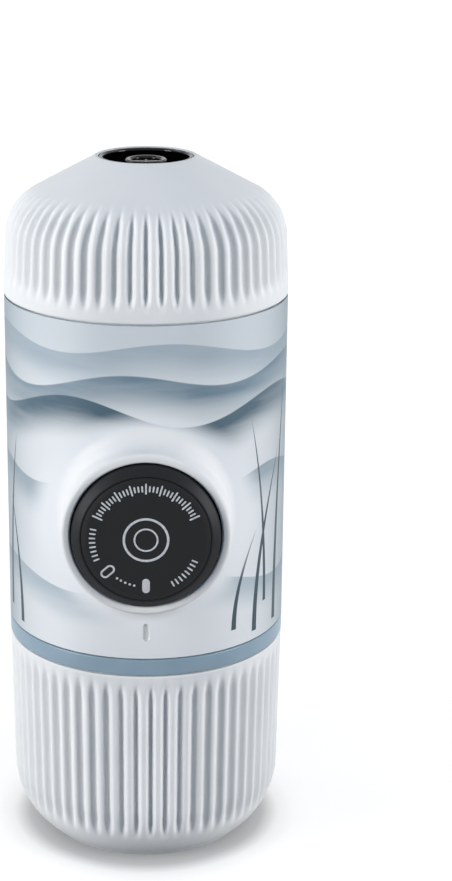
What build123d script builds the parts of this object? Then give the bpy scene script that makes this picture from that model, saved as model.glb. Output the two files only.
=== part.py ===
from build123d import *

import os
from math import cos, radians, sin, sqrt, tan

# Handheld manual espresso maker, standing on its cup with the outlet head on top. Millimetres.
# +Z is up along the maker's own axis, the origin is the middle of the cup's base, and the pump's
# button faces the front, -Y. "Reach" is a distance forward of the maker's axis along the pump's
# axis, so a piece at reach 20 lies at Y = -20.

os.makedirs("parts", exist_ok=True)

# ---------------------------------------------------------------- outline, from the floor up
body_radius = 31.05
cup_height = 48.0
band_height = 3.7
shell_height = 74.7
head_height = 29.6

band_bottom = cup_height
band_top = band_bottom + band_height
shell_top = band_top + shell_height
overall_height = shell_top + head_height

# The dark line at each seam: the outer edge of a rim stands back from the face it meets.
seam_width = 0.35
seam_depth = 1.0

# ---------------------------------------------------------------- clearances
running = 0.05  # round pump pieces that slide or turn in each other, on the radius
loose = 0.3  # guided pieces with plain play, on the radius
nested = 0.1  # fixed pieces that sit one inside the other, on the radius
thread_room = 0.35  # between the plain cylinders that carry the threads, on the radius

# ---------------------------------------------------------------- flutes on cup and outlet head
flute_count = 60
flute_depth = 0.7
flute_width = 2.3
flute_chords = 5

# ---------------------------------------------------------------- cup
cup_wall = 2.15
cup_floor = 2.2
cup_foot_inset = 7.65
cup_foot_chamfer = 0.8
cup_corner_height = 15.0
cup_draft = 0.55
cup_flute_inset = 3.4
cup_flute_turn = 2.0

# ---------------------------------------------------------------- water tank
tank_neck_inset = 3.65
tank_vessel_inset = 0.2
tank_wall = 2.0
tank_base = 12.0
tank_corner_round = 7.0
tank_inner_corner = 4.0
tank_neck_height = 9.0
tank_grip_count = 8
tank_grip_width = 2.4
tank_grip_height = 11.0
gasket_thick = 1.5
gasket_width = 2.6

# ---------------------------------------------------------------- body shell and button collar
shell_wall = 2.0
ledge_width = 1.1
ledge_thick = 1.5
pump_rise = 31.0
collar_stand = 6.45
collar_radius = 17.9
collar_blend = 4.3
collar_edge_round = 0.8
collar_wall = 1.1
mark_width = 1.6
mark_height = 4.2
mark_rise = 4.3
mark_depth = 0.4

# ---------------------------------------------------------------- chassis
plate_thick = 1.8
post_radius = 2.3
post_angle = 36.7
cradle_width = 18.0
cradle_back = -8.0
cradle_front = 7.0
cradle_depth = 3.0

# ---------------------------------------------------------------- pump
bore_radius = 8.0
cylinder_wall = 1.8
cylinder_end_wall = 1.5
mouth_flange_radius = 13.5
mouth_flange_thick = 4.0
end_flange_thick = 3.0
end_flange_height = 26.0
stroke = 14.0
stroke_spare = 1.3
piston_length = 6.0
pump_back_room = 18.75
seal_width = 2.2
seal_depth = 1.5
rod_radius = 4.0
rod_guide_length = 6.0
rod_guide_flange = 1.6
port_radius = 1.4

# ---------------------------------------------------------------- button, its guide and its lock ring
button_radius = 15.65
button_stand = 0.7
button_bevel_reach = 1.4
button_bevel = 1.7
button_wall = 1.6
button_face_thick = 2.6
button_skirt_room = 0.9
button_boss_radius = 5.5
button_boss_length = 2.6
button_screw_length = 8.8
label_inset = 0.45
label_thick = 0.5
label_proud = 0.35
label_crown = 1.0
guide_sink = 11.5
guide_overlap = 3.0
guide_wall = 1.45
guide_back_wall = 1.8
lock_base_thick = 1.5
lock_sleeve_wall = 2.3
key_width = 3.0
key_height = 0.95
spring_wire = 1.1
spring_radius = 7.2
spring_turns = 5

# ---------------------------------------------------------------- valves
valve_width = 15.0
valve_depth = 8.4
valve_corner = 0.8
valve_screw_inset = 2.5
ball_radius = 2.3
ball_room = 0.5
ball_lift = 1.0
seat_bore = 1.6
inlet_seat_length = 5.5
outlet_seat_rise = 9.3
valve_spring_wire = 0.5
valve_spring_turns = 3
strainer_radius = 4.6
strainer_thick = 1.2
strainer_hole = 0.8
strainer_ring_radius = 2.9
vent_radius = 2.2
vent_flange_radius = 3.6
vent_flange_thick = 1.2
vent_bill_radius = 0.9
vent_bill_length = 2.4
vent_place = (10.0, -10.0)

# ---------------------------------------------------------------- brew chamber and basket
neck_inset = 7.45
neck_height = 10.6
neck_wall = 2.6
flange_thick = 2.6
flange_sink = 0.6
chamber_depth = 15.2
chamber_floor = 2.0
chamber_wall = 1.8
screen_ledge_rise = 5.4
screen_ledge_width = 1.6
screen_thick = 0.6
screen_hole = 0.7
screen_ring_radius = 11.5
basket_depth = 17.0
basket_wall = 0.7
basket_flange = 2.6
basket_flange_thick = 0.8
basket_corner = 2.0
rim_seal_thick = 0.8
rim_seal_margin = 0.6

# ---------------------------------------------------------------- outlet head
head_flare = 0.1
head_wall = 2.25
head_draft = 0.9
shoulder_round = 10.6
cone_slope = radians(28.5)
hole_radius = 10.0
hole_lip = 0.7
head_flute_rise = 3.9
head_flute_inset = 5.55
head_gasket_thick = 1.2
head_gasket_lip = 1.4
outlet_screen_room = 0.4
core_wall = 2.4
core_plate_thick = 3.0
core_rib_count = 6
core_rib_thick = 1.6
core_lead_in = 1.2
skirt_room = 1.2
funnel_radius = 10.5
funnel_height = 3.4
funnel_throat = 1.2
boss_ring_radius = 15.0
boss_radius = 2.7
boss_count = 3
spout_ring_radius = 9.6
spout_ring_wall = 1.1
spout_drop = 1.1
spout_trough = 3.4
spout_tube_radius = 4.8
spout_bore = 3.2
spout_tube_drop = 1.6

# ---------------------------------------------------------------- screws
screw_radius = 1.15
screw_head_radius = 1.8
screw_head_thick = 1.2
chassis_screw_length = 12.0
head_screw_length = 6.8
small_screw_radius = 1.0
small_head_radius = 1.7
small_head_thick = 1.0

# ---------------------------------------------------------------- sizes that follow from those above
shell_bore = body_radius - shell_wall
cup_bore = body_radius - cup_wall
cup_foot_radius = body_radius - cup_foot_inset
tank_neck_radius = body_radius - tank_neck_inset
tank_vessel_radius = tank_neck_radius - tank_vessel_inset
neck_radius = body_radius - neck_inset
neck_bore = neck_radius - neck_wall
head_rim_radius = body_radius + head_flare
shoulder_radius = head_rim_radius - head_draft
head_flute_high_radius = shoulder_radius - head_flute_inset
pump_height = band_top + pump_rise
collar_reach = body_radius + collar_stand
label_radius = button_radius - button_bevel - label_inset
button_edge_reach = collar_reach + button_stand
button_face_reach = button_edge_reach + button_bevel_reach
guide_front = collar_reach - guide_sink
cylinder_radius = bore_radius + cylinder_wall
piston_start = pump_back_room - body_radius
cylinder_end = piston_start - loose
cylinder_mouth = piston_start + piston_length + stroke + stroke_spare + rod_guide_length
guide_bore = button_radius + loose
guide_radius = guide_bore + guide_wall
lock_reach = cylinder_mouth + guide_back_wall + loose
valve_spring_length = (valve_spring_turns + 1) * valve_spring_wire + ball_lift
tank_neck_top = band_top + tank_neck_height
plate_low = tank_neck_top + gasket_thick
plate_top = plate_low + plate_thick
flange_top = shell_top - flange_sink
flange_low = flange_top - flange_thick
chamber_base = flange_low - chamber_depth
screen_ledge_height = chamber_base + screen_ledge_rise
neck_top = shell_top + neck_height
basket_flange_top = neck_top + basket_flange_thick
gasket_top = basket_flange_top + head_gasket_thick
plate_seat = gasket_top + screen_thick

post_ring_radius = shell_bore - ledge_width - post_radius - nested
post_span_x = 2 * post_ring_radius * cos(radians(post_angle))
post_span_y = 2 * post_ring_radius * sin(radians(post_angle))

# A V-shaped flute, seen along it: x is outwards from the surface, and the cutter stands as far
# proud of the surface as it cuts into it. Round the head's shoulder it runs in straight chords.
flute_section = ((-flute_depth, 0), (flute_depth, flute_width), (flute_depth, -flute_width))


def pump_plane(reach):
    """Plane square to the pump's axis at a reach, facing the front: local x is X, local y is up."""
    return Plane(origin=(0, -reach, pump_height), x_dir=(1, 0, 0), z_dir=(0, -1, 0))


pump_axis = Axis((0, 0, pump_height), (0, -1, 0))
pump_section = Plane(origin=(0, 0, pump_height), x_dir=(0, -1, 0), z_dir=(-1, 0, 0))


def turned(plane, axis, points, mode=Mode.ADD):
    """Revolve a closed outline of straight sides."""
    with BuildSketch(plane) as section:
        with BuildLine():
            Polyline(*points, close=True)
        make_face()
    revolve(section.sketch, axis=axis, mode=mode)


def turned_upright(*points, mode=Mode.ADD):
    """Revolve (radius, height) points round the maker's axis."""
    turned(Plane.XZ, Axis.Z, points, mode)


def turned_on_pump(*points, mode=Mode.ADD):
    """Revolve (reach, radius) points round the pump's axis."""
    turned(pump_section, pump_axis, points, mode)


def tube_on_pump(inner, outer, start, end, mode=Mode.ADD):
    """A plain tube on the pump's axis between two reaches."""
    turned_on_pump((start, inner), (end, inner), (end, outer), (start, outer), mode=mode)


def tube_upright(inner, outer, low, high, mode=Mode.ADD):
    """A plain tube on the maker's axis between two heights."""
    turned_upright((inner, low), (outer, low), (outer, high), (inner, high), mode=mode)


def write(builder, name):
    """Label a finished piece and write its STEP file."""
    builder.part.label = name
    export_step(builder.part, f"parts/{name}.step")


def square_coil(radius, length, turns, wire, seat):
    """A coil of square wire that stands on its seat plane."""
    with BuildPart() as coil:
        with BuildLine() as path:
            Helix(
                pitch=(length - wire) / turns,
                height=length - wire,
                radius=radius,
                center=seat.offset(wire / 2).origin,
                direction=seat.z_dir,
            )
        with BuildSketch(Plane(path.line @ 0, z_dir=path.line % 0)) as section:
            Rectangle(wire, wire)
        sweep(section.sketch, path=path.line, is_frenet=True)
    return coil


# ================================================================ cup
# The fluted cup is pushed over the water tank, and the whole maker stands on its rounded base.
cup_corner_radius = body_radius - cup_draft
with BuildPart() as flute_cutter_of_cup:
    cup_lean = cup_draft / (cup_height - cup_corner_height)
    cup_flute_foot = (cup_corner_radius - cup_lean * cup_corner_height, 0, 0)
    with BuildSketch(Plane(origin=cup_flute_foot, x_dir=(1, 0, -cup_lean), z_dir=(cup_lean, 0, 1))):
        Polygon(*flute_section, align=None)
    extrude(amount=cup_height - cup_flute_inset)

with BuildPart() as cup:
    with BuildSketch(Plane.XZ):
        with BuildLine():
            rim_step = (body_radius - seam_depth, cup_height - seam_width)
            outer_rim = (body_radius, cup_height - seam_width)
            wall_foot = (cup_corner_radius, cup_corner_height)
            Polyline((0, cup_floor), (0, 0), (cup_foot_radius, 0))
            wall = Line(outer_rim, wall_foot)
            TangentArc(wall_foot, (cup_foot_radius, 0), tangent=wall % 1)
            Polyline(outer_rim, rim_step, (rim_step[0], cup_height), (cup_bore, cup_height))
            inner_foot = (cup_bore - cup_draft, cup_corner_height)
            inner_wall = Line((cup_bore, cup_height), inner_foot)
            inner_floor = (cup_foot_radius - cup_wall, cup_floor)
            TangentArc(inner_foot, inner_floor, tangent=inner_wall % 1)
            Line(inner_floor, (0, cup_floor))
        make_face()
    revolve(axis=Axis.Z)
    chamfer(cup.edges().group_by(Axis.Z)[0], cup_foot_chamfer)
    with PolarLocations(0, flute_count, start_angle=cup_flute_turn - 90):
        add(flute_cutter_of_cup.part, mode=Mode.SUBTRACT)
write(cup, "cup")

# ================================================================ water tank and its gasket
with BuildPart() as water_tank:
    neck_bore_radius = tank_neck_radius - tank_wall
    vessel_bore = tank_vessel_radius - tank_wall
    tank_floor = tank_base + tank_wall
    with BuildSketch(Plane.XZ):
        with BuildLine():
            FilletPolyline(
                (0, tank_base),
                (tank_vessel_radius, tank_base),
                (tank_vessel_radius, band_bottom),
                radius=tank_corner_round,
            )
            Polyline(
                (tank_vessel_radius, band_bottom),
                (body_radius, band_bottom),
                (body_radius, band_top),
                (tank_neck_radius, band_top),
                (tank_neck_radius, tank_neck_top),
                (neck_bore_radius, tank_neck_top),
                (neck_bore_radius, band_bottom),
            )
            Polyline(
                (neck_bore_radius, band_bottom),
                (vessel_bore, tank_floor + tank_inner_corner),
                (vessel_bore - tank_inner_corner, tank_floor),
                (0, tank_floor),
                (0, tank_base),
            )
        make_face()
    revolve(axis=Axis.Z)
    # Upright ribs that grip the inside of the cup.
    grip_radius = cup_bore - loose
    grip_low = band_bottom - tank_grip_height
    with BuildSketch(Plane.XY.offset(grip_low)):
        with PolarLocations((vessel_bore + grip_radius) / 2, tank_grip_count):
            Rectangle(grip_radius - vessel_bore, tank_grip_width)
        Circle(vessel_bore + tank_wall / 2, mode=Mode.SUBTRACT)
    extrude(amount=tank_grip_height)
write(water_tank, "water_tank")

with BuildPart() as tank_gasket:
    tube_upright(tank_neck_radius - gasket_width, tank_neck_radius, tank_neck_top, plate_low)
write(tank_gasket, "tank_gasket")

# ================================================================ chassis
# Inside the shell: the threaded socket for the tank, a plate over it, four posts and the pump's cradle.
socket_bore = tank_neck_radius + thread_room
socket_low = band_top + seam_width
valve_back = -cylinder_end + cylinder_end_wall
valve_axis_y = valve_back + valve_depth / 2
with BuildPart() as chassis:
    tube_upright(socket_bore, shell_bore - nested, socket_low, plate_low)
    with BuildSketch(Plane.XY.offset(plate_low)):
        Circle(shell_bore - nested)
        with Locations((0, valve_axis_y)):
            Circle(seat_bore, mode=Mode.SUBTRACT)
        with Locations(vent_place):
            Circle(vent_radius, mode=Mode.SUBTRACT)
    extrude(amount=plate_thick)
    with BuildSketch(Plane.XY.offset(plate_top)):
        with GridLocations(post_span_x, post_span_y, 2, 2):
            Circle(post_radius)
    extrude(amount=flange_low - plate_top)
    with BuildSketch(Plane.XY.offset(plate_top)):
        with Locations((0, -(cradle_front + cradle_back) / 2)):
            Rectangle(cradle_width, cradle_front - cradle_back)
    extrude(amount=pump_height - cylinder_radius + cradle_depth - plate_top)
    tube_on_pump(0, cylinder_radius + nested, cylinder_end, cylinder_mouth, mode=Mode.SUBTRACT)
    with Locations(Plane.XY.offset(flange_low)):
        with GridLocations(post_span_x, post_span_y, 2, 2):
            Hole(
                screw_radius + nested,
                depth=chassis_screw_length + screw_head_thick - flange_thick + loose,
            )
write(chassis, "chassis")

# ================================================================ body shell
# A plain cylinder with a collar for the button blended into its front. Inside, two ledges hold it
# between the chassis plate and the brew chamber's flange, and a boss backs the collar.
boss_back = guide_front - guide_overlap
boss_outer = guide_radius + nested + collar_wall
with BuildPart() as shell_cavity:
    with BuildSketch(Plane.XZ):
        with BuildLine():
            ledge_bore = shell_bore - ledge_width
            Polyline(
                (0, band_top),
                (shell_bore, band_top),
                (shell_bore, plate_top),
                (ledge_bore, plate_top),
                (ledge_bore, plate_top + ledge_thick),
                (shell_bore, plate_top + ledge_thick),
                (shell_bore, flange_low - ledge_thick),
                (ledge_bore, flange_low - ledge_thick),
                (ledge_bore, flange_low),
                (shell_bore, flange_low),
                (shell_bore, shell_top),
                (0, shell_top),
                close=True,
            )
        make_face()
    revolve(axis=Axis.Z)
    tube_on_pump(0, boss_outer, boss_back, collar_reach, mode=Mode.SUBTRACT)

with BuildPart() as body_shell:
    with BuildSketch(Plane.XZ):
        with BuildLine():
            step_radius = body_radius - seam_depth
            Polyline(
                (0, band_top),
                (step_radius, band_top),
                (step_radius, band_top + seam_width),
                (body_radius, band_top + seam_width),
                (body_radius, shell_top - seam_width),
                (step_radius, shell_top - seam_width),
                (step_radius, shell_top),
                (0, shell_top),
                close=True,
            )
        make_face()
    revolve(axis=Axis.Z)
    with BuildSketch(pump_plane(0)):
        Circle(collar_radius)
    extrude(amount=collar_reach)
    foot_of_collar = body_shell.edges().filter_by(
        lambda edge: edge.geom_type not in (GeomType.CIRCLE, GeomType.LINE)
    )
    fillet(foot_of_collar, collar_blend)
    lip = body_shell.edges().filter_by(GeomType.CIRCLE).sort_by(Axis.Y)[0]
    fillet(lip, collar_edge_round)
    add(shell_cavity.part, mode=Mode.SUBTRACT)
    tube_on_pump(0, guide_bore, 0, collar_reach, mode=Mode.SUBTRACT)
    tube_on_pump(0, guide_radius + nested, 0, guide_front + nested, mode=Mode.SUBTRACT)
    # The engraved line that the button's marks point at.
    with BuildSketch(Plane.XZ.offset(body_radius + mark_width)):
        with Locations((0, band_top + mark_rise + mark_height / 2)):
            SlotOverall(mark_height, mark_width, rotation=90)
    extrude(amount=-(mark_width + mark_depth), mode=Mode.SUBTRACT)
write(body_shell, "body_shell")

# ================================================================ pump cylinder, rod guide and their screws
guide_screw_ring = (guide_bore + cylinder_radius) / 2
valve_screw_span = valve_width - 2 * valve_screw_inset
valve_screw_rise = end_flange_height - 2 * valve_screw_inset
with BuildPart() as pump_cylinder:
    closed_end = cylinder_end - cylinder_end_wall
    tube_on_pump(0, cylinder_radius, closed_end, cylinder_mouth)
    tube_on_pump(0, mouth_flange_radius, cylinder_mouth - mouth_flange_thick, cylinder_mouth)
    with BuildSketch(pump_plane(closed_end)):
        RectangleRounded(valve_width, end_flange_height, small_head_radius)
    extrude(amount=end_flange_thick)
    tube_on_pump(0, bore_radius, cylinder_end, cylinder_mouth, mode=Mode.SUBTRACT)
    with Locations(pump_plane(cylinder_end)):
        Hole(port_radius, depth=cylinder_end_wall)
    with Locations(pump_plane(closed_end + end_flange_thick)):
        with GridLocations(valve_screw_span, valve_screw_rise, 2, 2):
            Hole(small_screw_radius + nested, depth=end_flange_thick)
    with Locations(pump_plane(cylinder_mouth)):
        with PolarLocations(guide_screw_ring, 3, start_angle=90):
            Hole(small_screw_radius + nested, depth=mouth_flange_thick)
write(pump_cylinder, "pump_cylinder")

with BuildPart() as rod_guide:
    guide_hole = rod_radius + running
    guide_flange_end = cylinder_mouth + rod_guide_flange
    tube_on_pump(guide_hole, bore_radius - nested, cylinder_mouth - rod_guide_length, cylinder_mouth)
    tube_on_pump(guide_hole, cylinder_radius - nested, cylinder_mouth, guide_flange_end)
write(rod_guide, "rod_guide")

# The guide is a cup: its wall steadies the button, its back is screwed to the cylinder's mouth.
with BuildPart() as button_guide:
    tube_on_pump(cylinder_radius, guide_radius, cylinder_mouth, cylinder_mouth + guide_back_wall)
    tube_on_pump(guide_bore, guide_radius, cylinder_mouth + guide_back_wall, guide_front)
    with Locations(pump_plane(cylinder_mouth + guide_back_wall)):
        with PolarLocations(guide_screw_ring, 3, start_angle=90):
            CounterBoreHole(
                small_screw_radius + nested,
                small_head_radius + nested,
                small_head_thick,
                depth=guide_back_wall,
            )
write(button_guide, "button_guide")

with BuildPart() as guide_screws:
    head_reach = cylinder_mouth + guide_back_wall - small_head_thick
    with BuildSketch(pump_plane(head_reach)):
        with PolarLocations(guide_screw_ring, 3, start_angle=90):
            Circle(small_head_radius)
    extrude(amount=small_head_thick)
    with BuildSketch(pump_plane(head_reach)):
        with PolarLocations(guide_screw_ring, 3, start_angle=90):
            Circle(small_screw_radius)
    extrude(amount=-(mouth_flange_thick - nested))
write(guide_screws, "guide_screws")

# ================================================================ valve block with its two ball valves
# Water rises from the tank through the lower ball, and leaves for the brew chamber past the upper one.
chamber_radius = ball_radius + ball_room
seat_drop = sqrt(ball_radius**2 - seat_bore**2) + running
inlet_seat_top = plate_top + inlet_seat_length
outlet_seat_top = pump_height + outlet_seat_rise
inlet_ball_height = inlet_seat_top + seat_drop
outlet_ball_height = outlet_seat_top + seat_drop
inlet_spring_low = inlet_ball_height + ball_radius
outlet_spring_low = outlet_ball_height + ball_radius
inlet_room_top = inlet_spring_low + valve_spring_length
outlet_plug_low = outlet_spring_low + valve_spring_length
valve_centre = (0, valve_axis_y)


def upright_hole(radius, low, high):
    """Cut a hole on the valves' axis between two heights."""
    with BuildSketch(Plane.XY.offset(low)) as section:
        with Locations(valve_centre):
            Circle(radius)
    extrude(section.sketch, amount=high - low, mode=Mode.SUBTRACT)


with BuildPart() as valve_block:
    with BuildSketch(Plane.XY.offset(plate_top)):
        with Locations(valve_centre):
            RectangleRounded(valve_width, valve_depth, valve_corner)
    extrude(amount=chamber_base - plate_top)
    upright_hole(chamber_radius, plate_top, inlet_room_top)
    upright_hole(seat_bore, inlet_room_top, outlet_seat_top)
    upright_hole(chamber_radius, outlet_seat_top, chamber_base)
    with Locations(pump_plane(-valve_back)):
        Hole(port_radius, depth=valve_depth / 2)
    with Locations(pump_plane(-valve_back)):
        with GridLocations(valve_screw_span, valve_screw_rise, 2, 2):
            Hole(small_screw_radius + nested, depth=valve_depth)
write(valve_block, "valve_block")

with BuildPart() as valve_screws:
    back_face = valve_back + valve_depth
    with BuildSketch(pump_plane(-back_face)):
        with GridLocations(valve_screw_span, valve_screw_rise, 2, 2):
            Circle(small_head_radius)
    extrude(amount=-small_head_thick)
    with BuildSketch(pump_plane(-back_face)):
        with GridLocations(valve_screw_span, valve_screw_rise, 2, 2):
            Circle(small_screw_radius)
    extrude(amount=valve_depth + end_flange_thick)
write(valve_screws, "valve_screws")


def bush(radius, bore, low, high):
    """A plain bush on the valves' axis."""
    with BuildPart() as piece:
        with BuildSketch(Plane.XY.offset(low)):
            with Locations(valve_centre):
                Circle(radius)
                Circle(bore, mode=Mode.SUBTRACT)
        extrude(amount=high - low)
    return piece


def ball(height):
    """A valve ball on the valves' axis."""
    with BuildPart() as piece:
        with Locations((0, valve_axis_y, height)):
            Sphere(ball_radius)
    return piece


write(bush(chamber_radius - nested, seat_bore, plate_top, inlet_seat_top), "inlet_seat")
write(bush(chamber_radius - nested, seat_bore, outlet_plug_low, chamber_base), "outlet_plug")
write(ball(inlet_ball_height), "inlet_ball")
write(ball(outlet_ball_height), "outlet_ball")
spring_coil_radius = (seat_bore + chamber_radius) / 2
for name, low in (("inlet_spring", inlet_spring_low), ("outlet_spring", outlet_spring_low)):
    start = Plane(origin=(0, valve_axis_y, low))
    coil = square_coil(spring_coil_radius, valve_spring_length, valve_spring_turns, valve_spring_wire, start)
    write(coil, name)

with BuildPart() as inlet_strainer:
    with BuildSketch(Plane.XY.offset(plate_low - strainer_thick)):
        with Locations(valve_centre):
            Circle(strainer_radius)
            Circle(strainer_hole, mode=Mode.SUBTRACT)
            with PolarLocations(strainer_ring_radius, 6):
                Circle(strainer_hole, mode=Mode.SUBTRACT)
    extrude(amount=strainer_thick)
write(inlet_strainer, "inlet_strainer")

# The vent lets air into the tank as the water leaves: a soft plug with a slit bill that points down.
with BuildPart() as vent_valve:
    with BuildSketch(Plane.XY.offset(plate_low - vent_flange_thick)):
        with Locations(vent_place):
            Circle(vent_flange_radius)
    extrude(amount=vent_flange_thick)
    with BuildSketch(Plane.XY.offset(plate_low)):
        with Locations(vent_place):
            Circle(vent_radius - nested)
    extrude(amount=plate_thick)
    with Locations((*vent_place, plate_low - vent_flange_thick)):
        Cone(vent_bill_radius, vent_radius, vent_bill_length, align=(Align.CENTER, Align.CENTER, Align.MAX))
write(vent_valve, "vent_valve")

# ================================================================ lock ring and return spring
lock_sleeve_outer = button_radius - button_wall - loose
inner_face = button_face_reach - button_face_thick
lock_sleeve_end = inner_face - loose
with BuildPart() as lock_ring:
    tube_on_pump(rod_radius + loose, button_radius, lock_reach, lock_reach + lock_base_thick)
    tube_on_pump(
        lock_sleeve_outer - lock_sleeve_wall,
        lock_sleeve_outer,
        lock_reach + lock_base_thick,
        lock_sleeve_end,
    )
    # Two keys carry the button's turn to the ring and let the button slide.
    key_top = lock_sleeve_outer + key_height
    with BuildSketch(pump_plane(lock_reach + lock_base_thick)):
        with PolarLocations(key_top - key_height, 2):
            Rectangle(2 * key_height, key_width)
    extrude(amount=lock_sleeve_end - lock_reach - lock_base_thick)
write(lock_ring, "lock_ring")

spring_low = lock_reach + lock_base_thick
spring_length = inner_face - spring_low
return_spring = square_coil(spring_radius, spring_length, spring_turns, spring_wire, pump_plane(spring_low))
write(return_spring, "return_spring")

# ================================================================ button and piston
with BuildPart() as button:
    button_bore = button_radius - button_wall
    button_skirt_end = spring_low + button_skirt_room
    label_back = button_face_reach - label_thick
    turned_on_pump(
        (inner_face, 0),
        (inner_face, button_bore),
        (button_skirt_end, button_bore),
        (button_skirt_end, button_radius),
        (button_edge_reach, button_radius),
        (button_face_reach, button_radius - button_bevel),
        (button_face_reach, label_radius + nested),
        (label_back, label_radius + nested),
        (label_back, 0),
    )
    tube_on_pump(rod_radius + nested, button_boss_radius, inner_face - button_boss_length, inner_face)
    with BuildSketch(pump_plane(button_skirt_end)):
        with PolarLocations(lock_sleeve_outer, 2):
            Rectangle(2 * (key_height + loose), key_width + 2 * loose)
    extrude(amount=inner_face - button_skirt_end, mode=Mode.SUBTRACT)
    with Locations(pump_plane(label_back)):
        CounterBoreHole(screw_radius + nested, screw_head_radius + nested, screw_head_thick)
write(button, "button")

with BuildPart() as button_label:
    turned_on_pump(
        (label_back, 0),
        (label_back, label_radius),
        (button_face_reach, label_radius),
        (button_face_reach + label_proud, label_radius - label_crown),
        (button_face_reach + label_proud, 0),
    )
write(button_label, "button_label")

with BuildPart() as button_screw:
    screw_seat = label_back - screw_head_thick
    tube_on_pump(0, screw_head_radius, screw_seat, label_back)
    tube_on_pump(0, screw_radius, screw_seat - button_screw_length, screw_seat)
write(button_screw, "button_screw")

with BuildPart() as piston:
    piston_front = piston_start + piston_length
    seal_bottom = bore_radius - running - seal_depth
    turned_on_pump(
        (piston_start, 0),
        (piston_start, bore_radius - running),
        (piston_start + (piston_length - seal_width) / 2, bore_radius - running),
        (piston_start + (piston_length - seal_width) / 2, seal_bottom),
        (piston_start + (piston_length + seal_width) / 2, seal_bottom),
        (piston_start + (piston_length + seal_width) / 2, bore_radius - running),
        (piston_front, bore_radius - running),
        (piston_front, rod_radius),
        (inner_face, rod_radius),
        (inner_face, 0),
    )
    with Locations(pump_plane(inner_face)):
        Hole(screw_radius + nested, depth=inner_face - screw_seat + button_screw_length + loose)
write(piston, "piston")

with BuildPart() as piston_seal:
    seal_start = piston_start + (piston_length - seal_width) / 2 + running
    tube_on_pump(
        seal_bottom + running,
        bore_radius - running / 2,
        seal_start,
        seal_start + seal_width - 2 * running,
    )
write(piston_seal, "piston_seal")

# ================================================================ brew chamber, its screen and seal
chamber_outer = neck_bore - screen_ledge_width + chamber_wall
with BuildPart() as brew_chamber:
    lower_bore = neck_bore - screen_ledge_width
    turned_upright(
        (0, chamber_base),
        (chamber_outer, chamber_base),
        (chamber_outer, flange_low),
        (shell_bore - nested, flange_low),
        (shell_bore - nested, flange_top),
        (neck_radius, flange_top),
        (neck_radius, neck_top),
        (neck_bore, neck_top),
        (neck_bore, screen_ledge_height),
        (lower_bore, screen_ledge_height),
        (lower_bore, chamber_base + chamber_floor),
        (0, chamber_base + chamber_floor),
    )
    # A groove in the neck's rim holds the seal under the basket's flange.
    groove_inner = neck_bore + rim_seal_margin
    groove_outer = neck_radius - rim_seal_margin
    groove_low = neck_top - rim_seal_thick
    tube_upright(groove_inner, groove_outer, groove_low, neck_top, mode=Mode.SUBTRACT)
    with Locations((0, valve_axis_y, chamber_base + chamber_floor)):
        Hole(seat_bore, depth=chamber_floor)
    with Locations(Plane.XY.offset(flange_top)):
        with GridLocations(post_span_x, post_span_y, 2, 2):
            CounterBoreHole(
                screw_radius + nested,
                screw_head_radius + nested,
                screw_head_thick,
                depth=flange_thick,
            )
write(brew_chamber, "brew_chamber")

with BuildPart() as rim_seal:
    tube_upright(groove_inner + nested, groove_outer - nested, groove_low, neck_top)
write(rim_seal, "rim_seal")

with BuildPart() as chassis_screws:
    head_low = flange_top - screw_head_thick
    with BuildSketch(Plane.XY.offset(head_low)):
        with GridLocations(post_span_x, post_span_y, 2, 2):
            Circle(screw_head_radius)
    extrude(amount=screw_head_thick)
    with BuildSketch(Plane.XY.offset(head_low)):
        with GridLocations(post_span_x, post_span_y, 2, 2):
            Circle(screw_radius)
    extrude(amount=-chassis_screw_length)
write(chassis_screws, "chassis_screws")


def screen(radius, low):
    """A thin round screen with a hole in its middle and a ring of six."""
    with BuildPart() as disc:
        with BuildSketch(Plane.XY.offset(low)):
            Circle(radius)
            Circle(screen_hole, mode=Mode.SUBTRACT)
            with PolarLocations(screen_ring_radius, 6):
                Circle(screen_hole, mode=Mode.SUBTRACT)
        extrude(amount=screen_thick)
    return disc


write(screen(neck_bore - nested, screen_ledge_height), "shower_screen")

# ================================================================ filter basket
with BuildPart() as filter_basket:
    basket_radius = neck_bore - loose
    basket_low = neck_top - basket_depth
    basket_bore = basket_radius - basket_wall
    basket_inner_corner = basket_corner - basket_wall
    turned_upright(
        (0, basket_low),
        (basket_radius - basket_corner, basket_low),
        (basket_radius, basket_low + basket_corner),
        (basket_radius, neck_top),
        (neck_bore + basket_flange, neck_top),
        (neck_bore + basket_flange, basket_flange_top),
        (basket_bore, basket_flange_top),
        (basket_bore, basket_low + basket_wall + basket_inner_corner),
        (basket_bore - basket_inner_corner, basket_low + basket_wall),
        (0, basket_low + basket_wall),
    )
    with BuildSketch(Plane.XY.offset(basket_low)):
        Circle(screen_hole)
        with PolarLocations(screen_ring_radius, 6):
            Circle(screen_hole)
    extrude(amount=basket_wall, mode=Mode.SUBTRACT)
write(filter_basket, "filter_basket")

# ================================================================ outlet head
with BuildPart() as head_gasket:
    tube_upright(neck_bore - head_gasket_lip, neck_radius, basket_flange_top, gasket_top)
write(head_gasket, "head_gasket")

outlet_screen_radius = neck_bore - outlet_screen_room
write(screen(outlet_screen_radius, gasket_top), "outlet_screen")


def cone_height(radius, inset=0.0):
    """Height of the head's cone at a radius. The inset is square to the surface, inwards."""
    return overall_height - (radius - hole_radius - hole_lip) * tan(cone_slope) - inset / cos(cone_slope)


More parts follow.
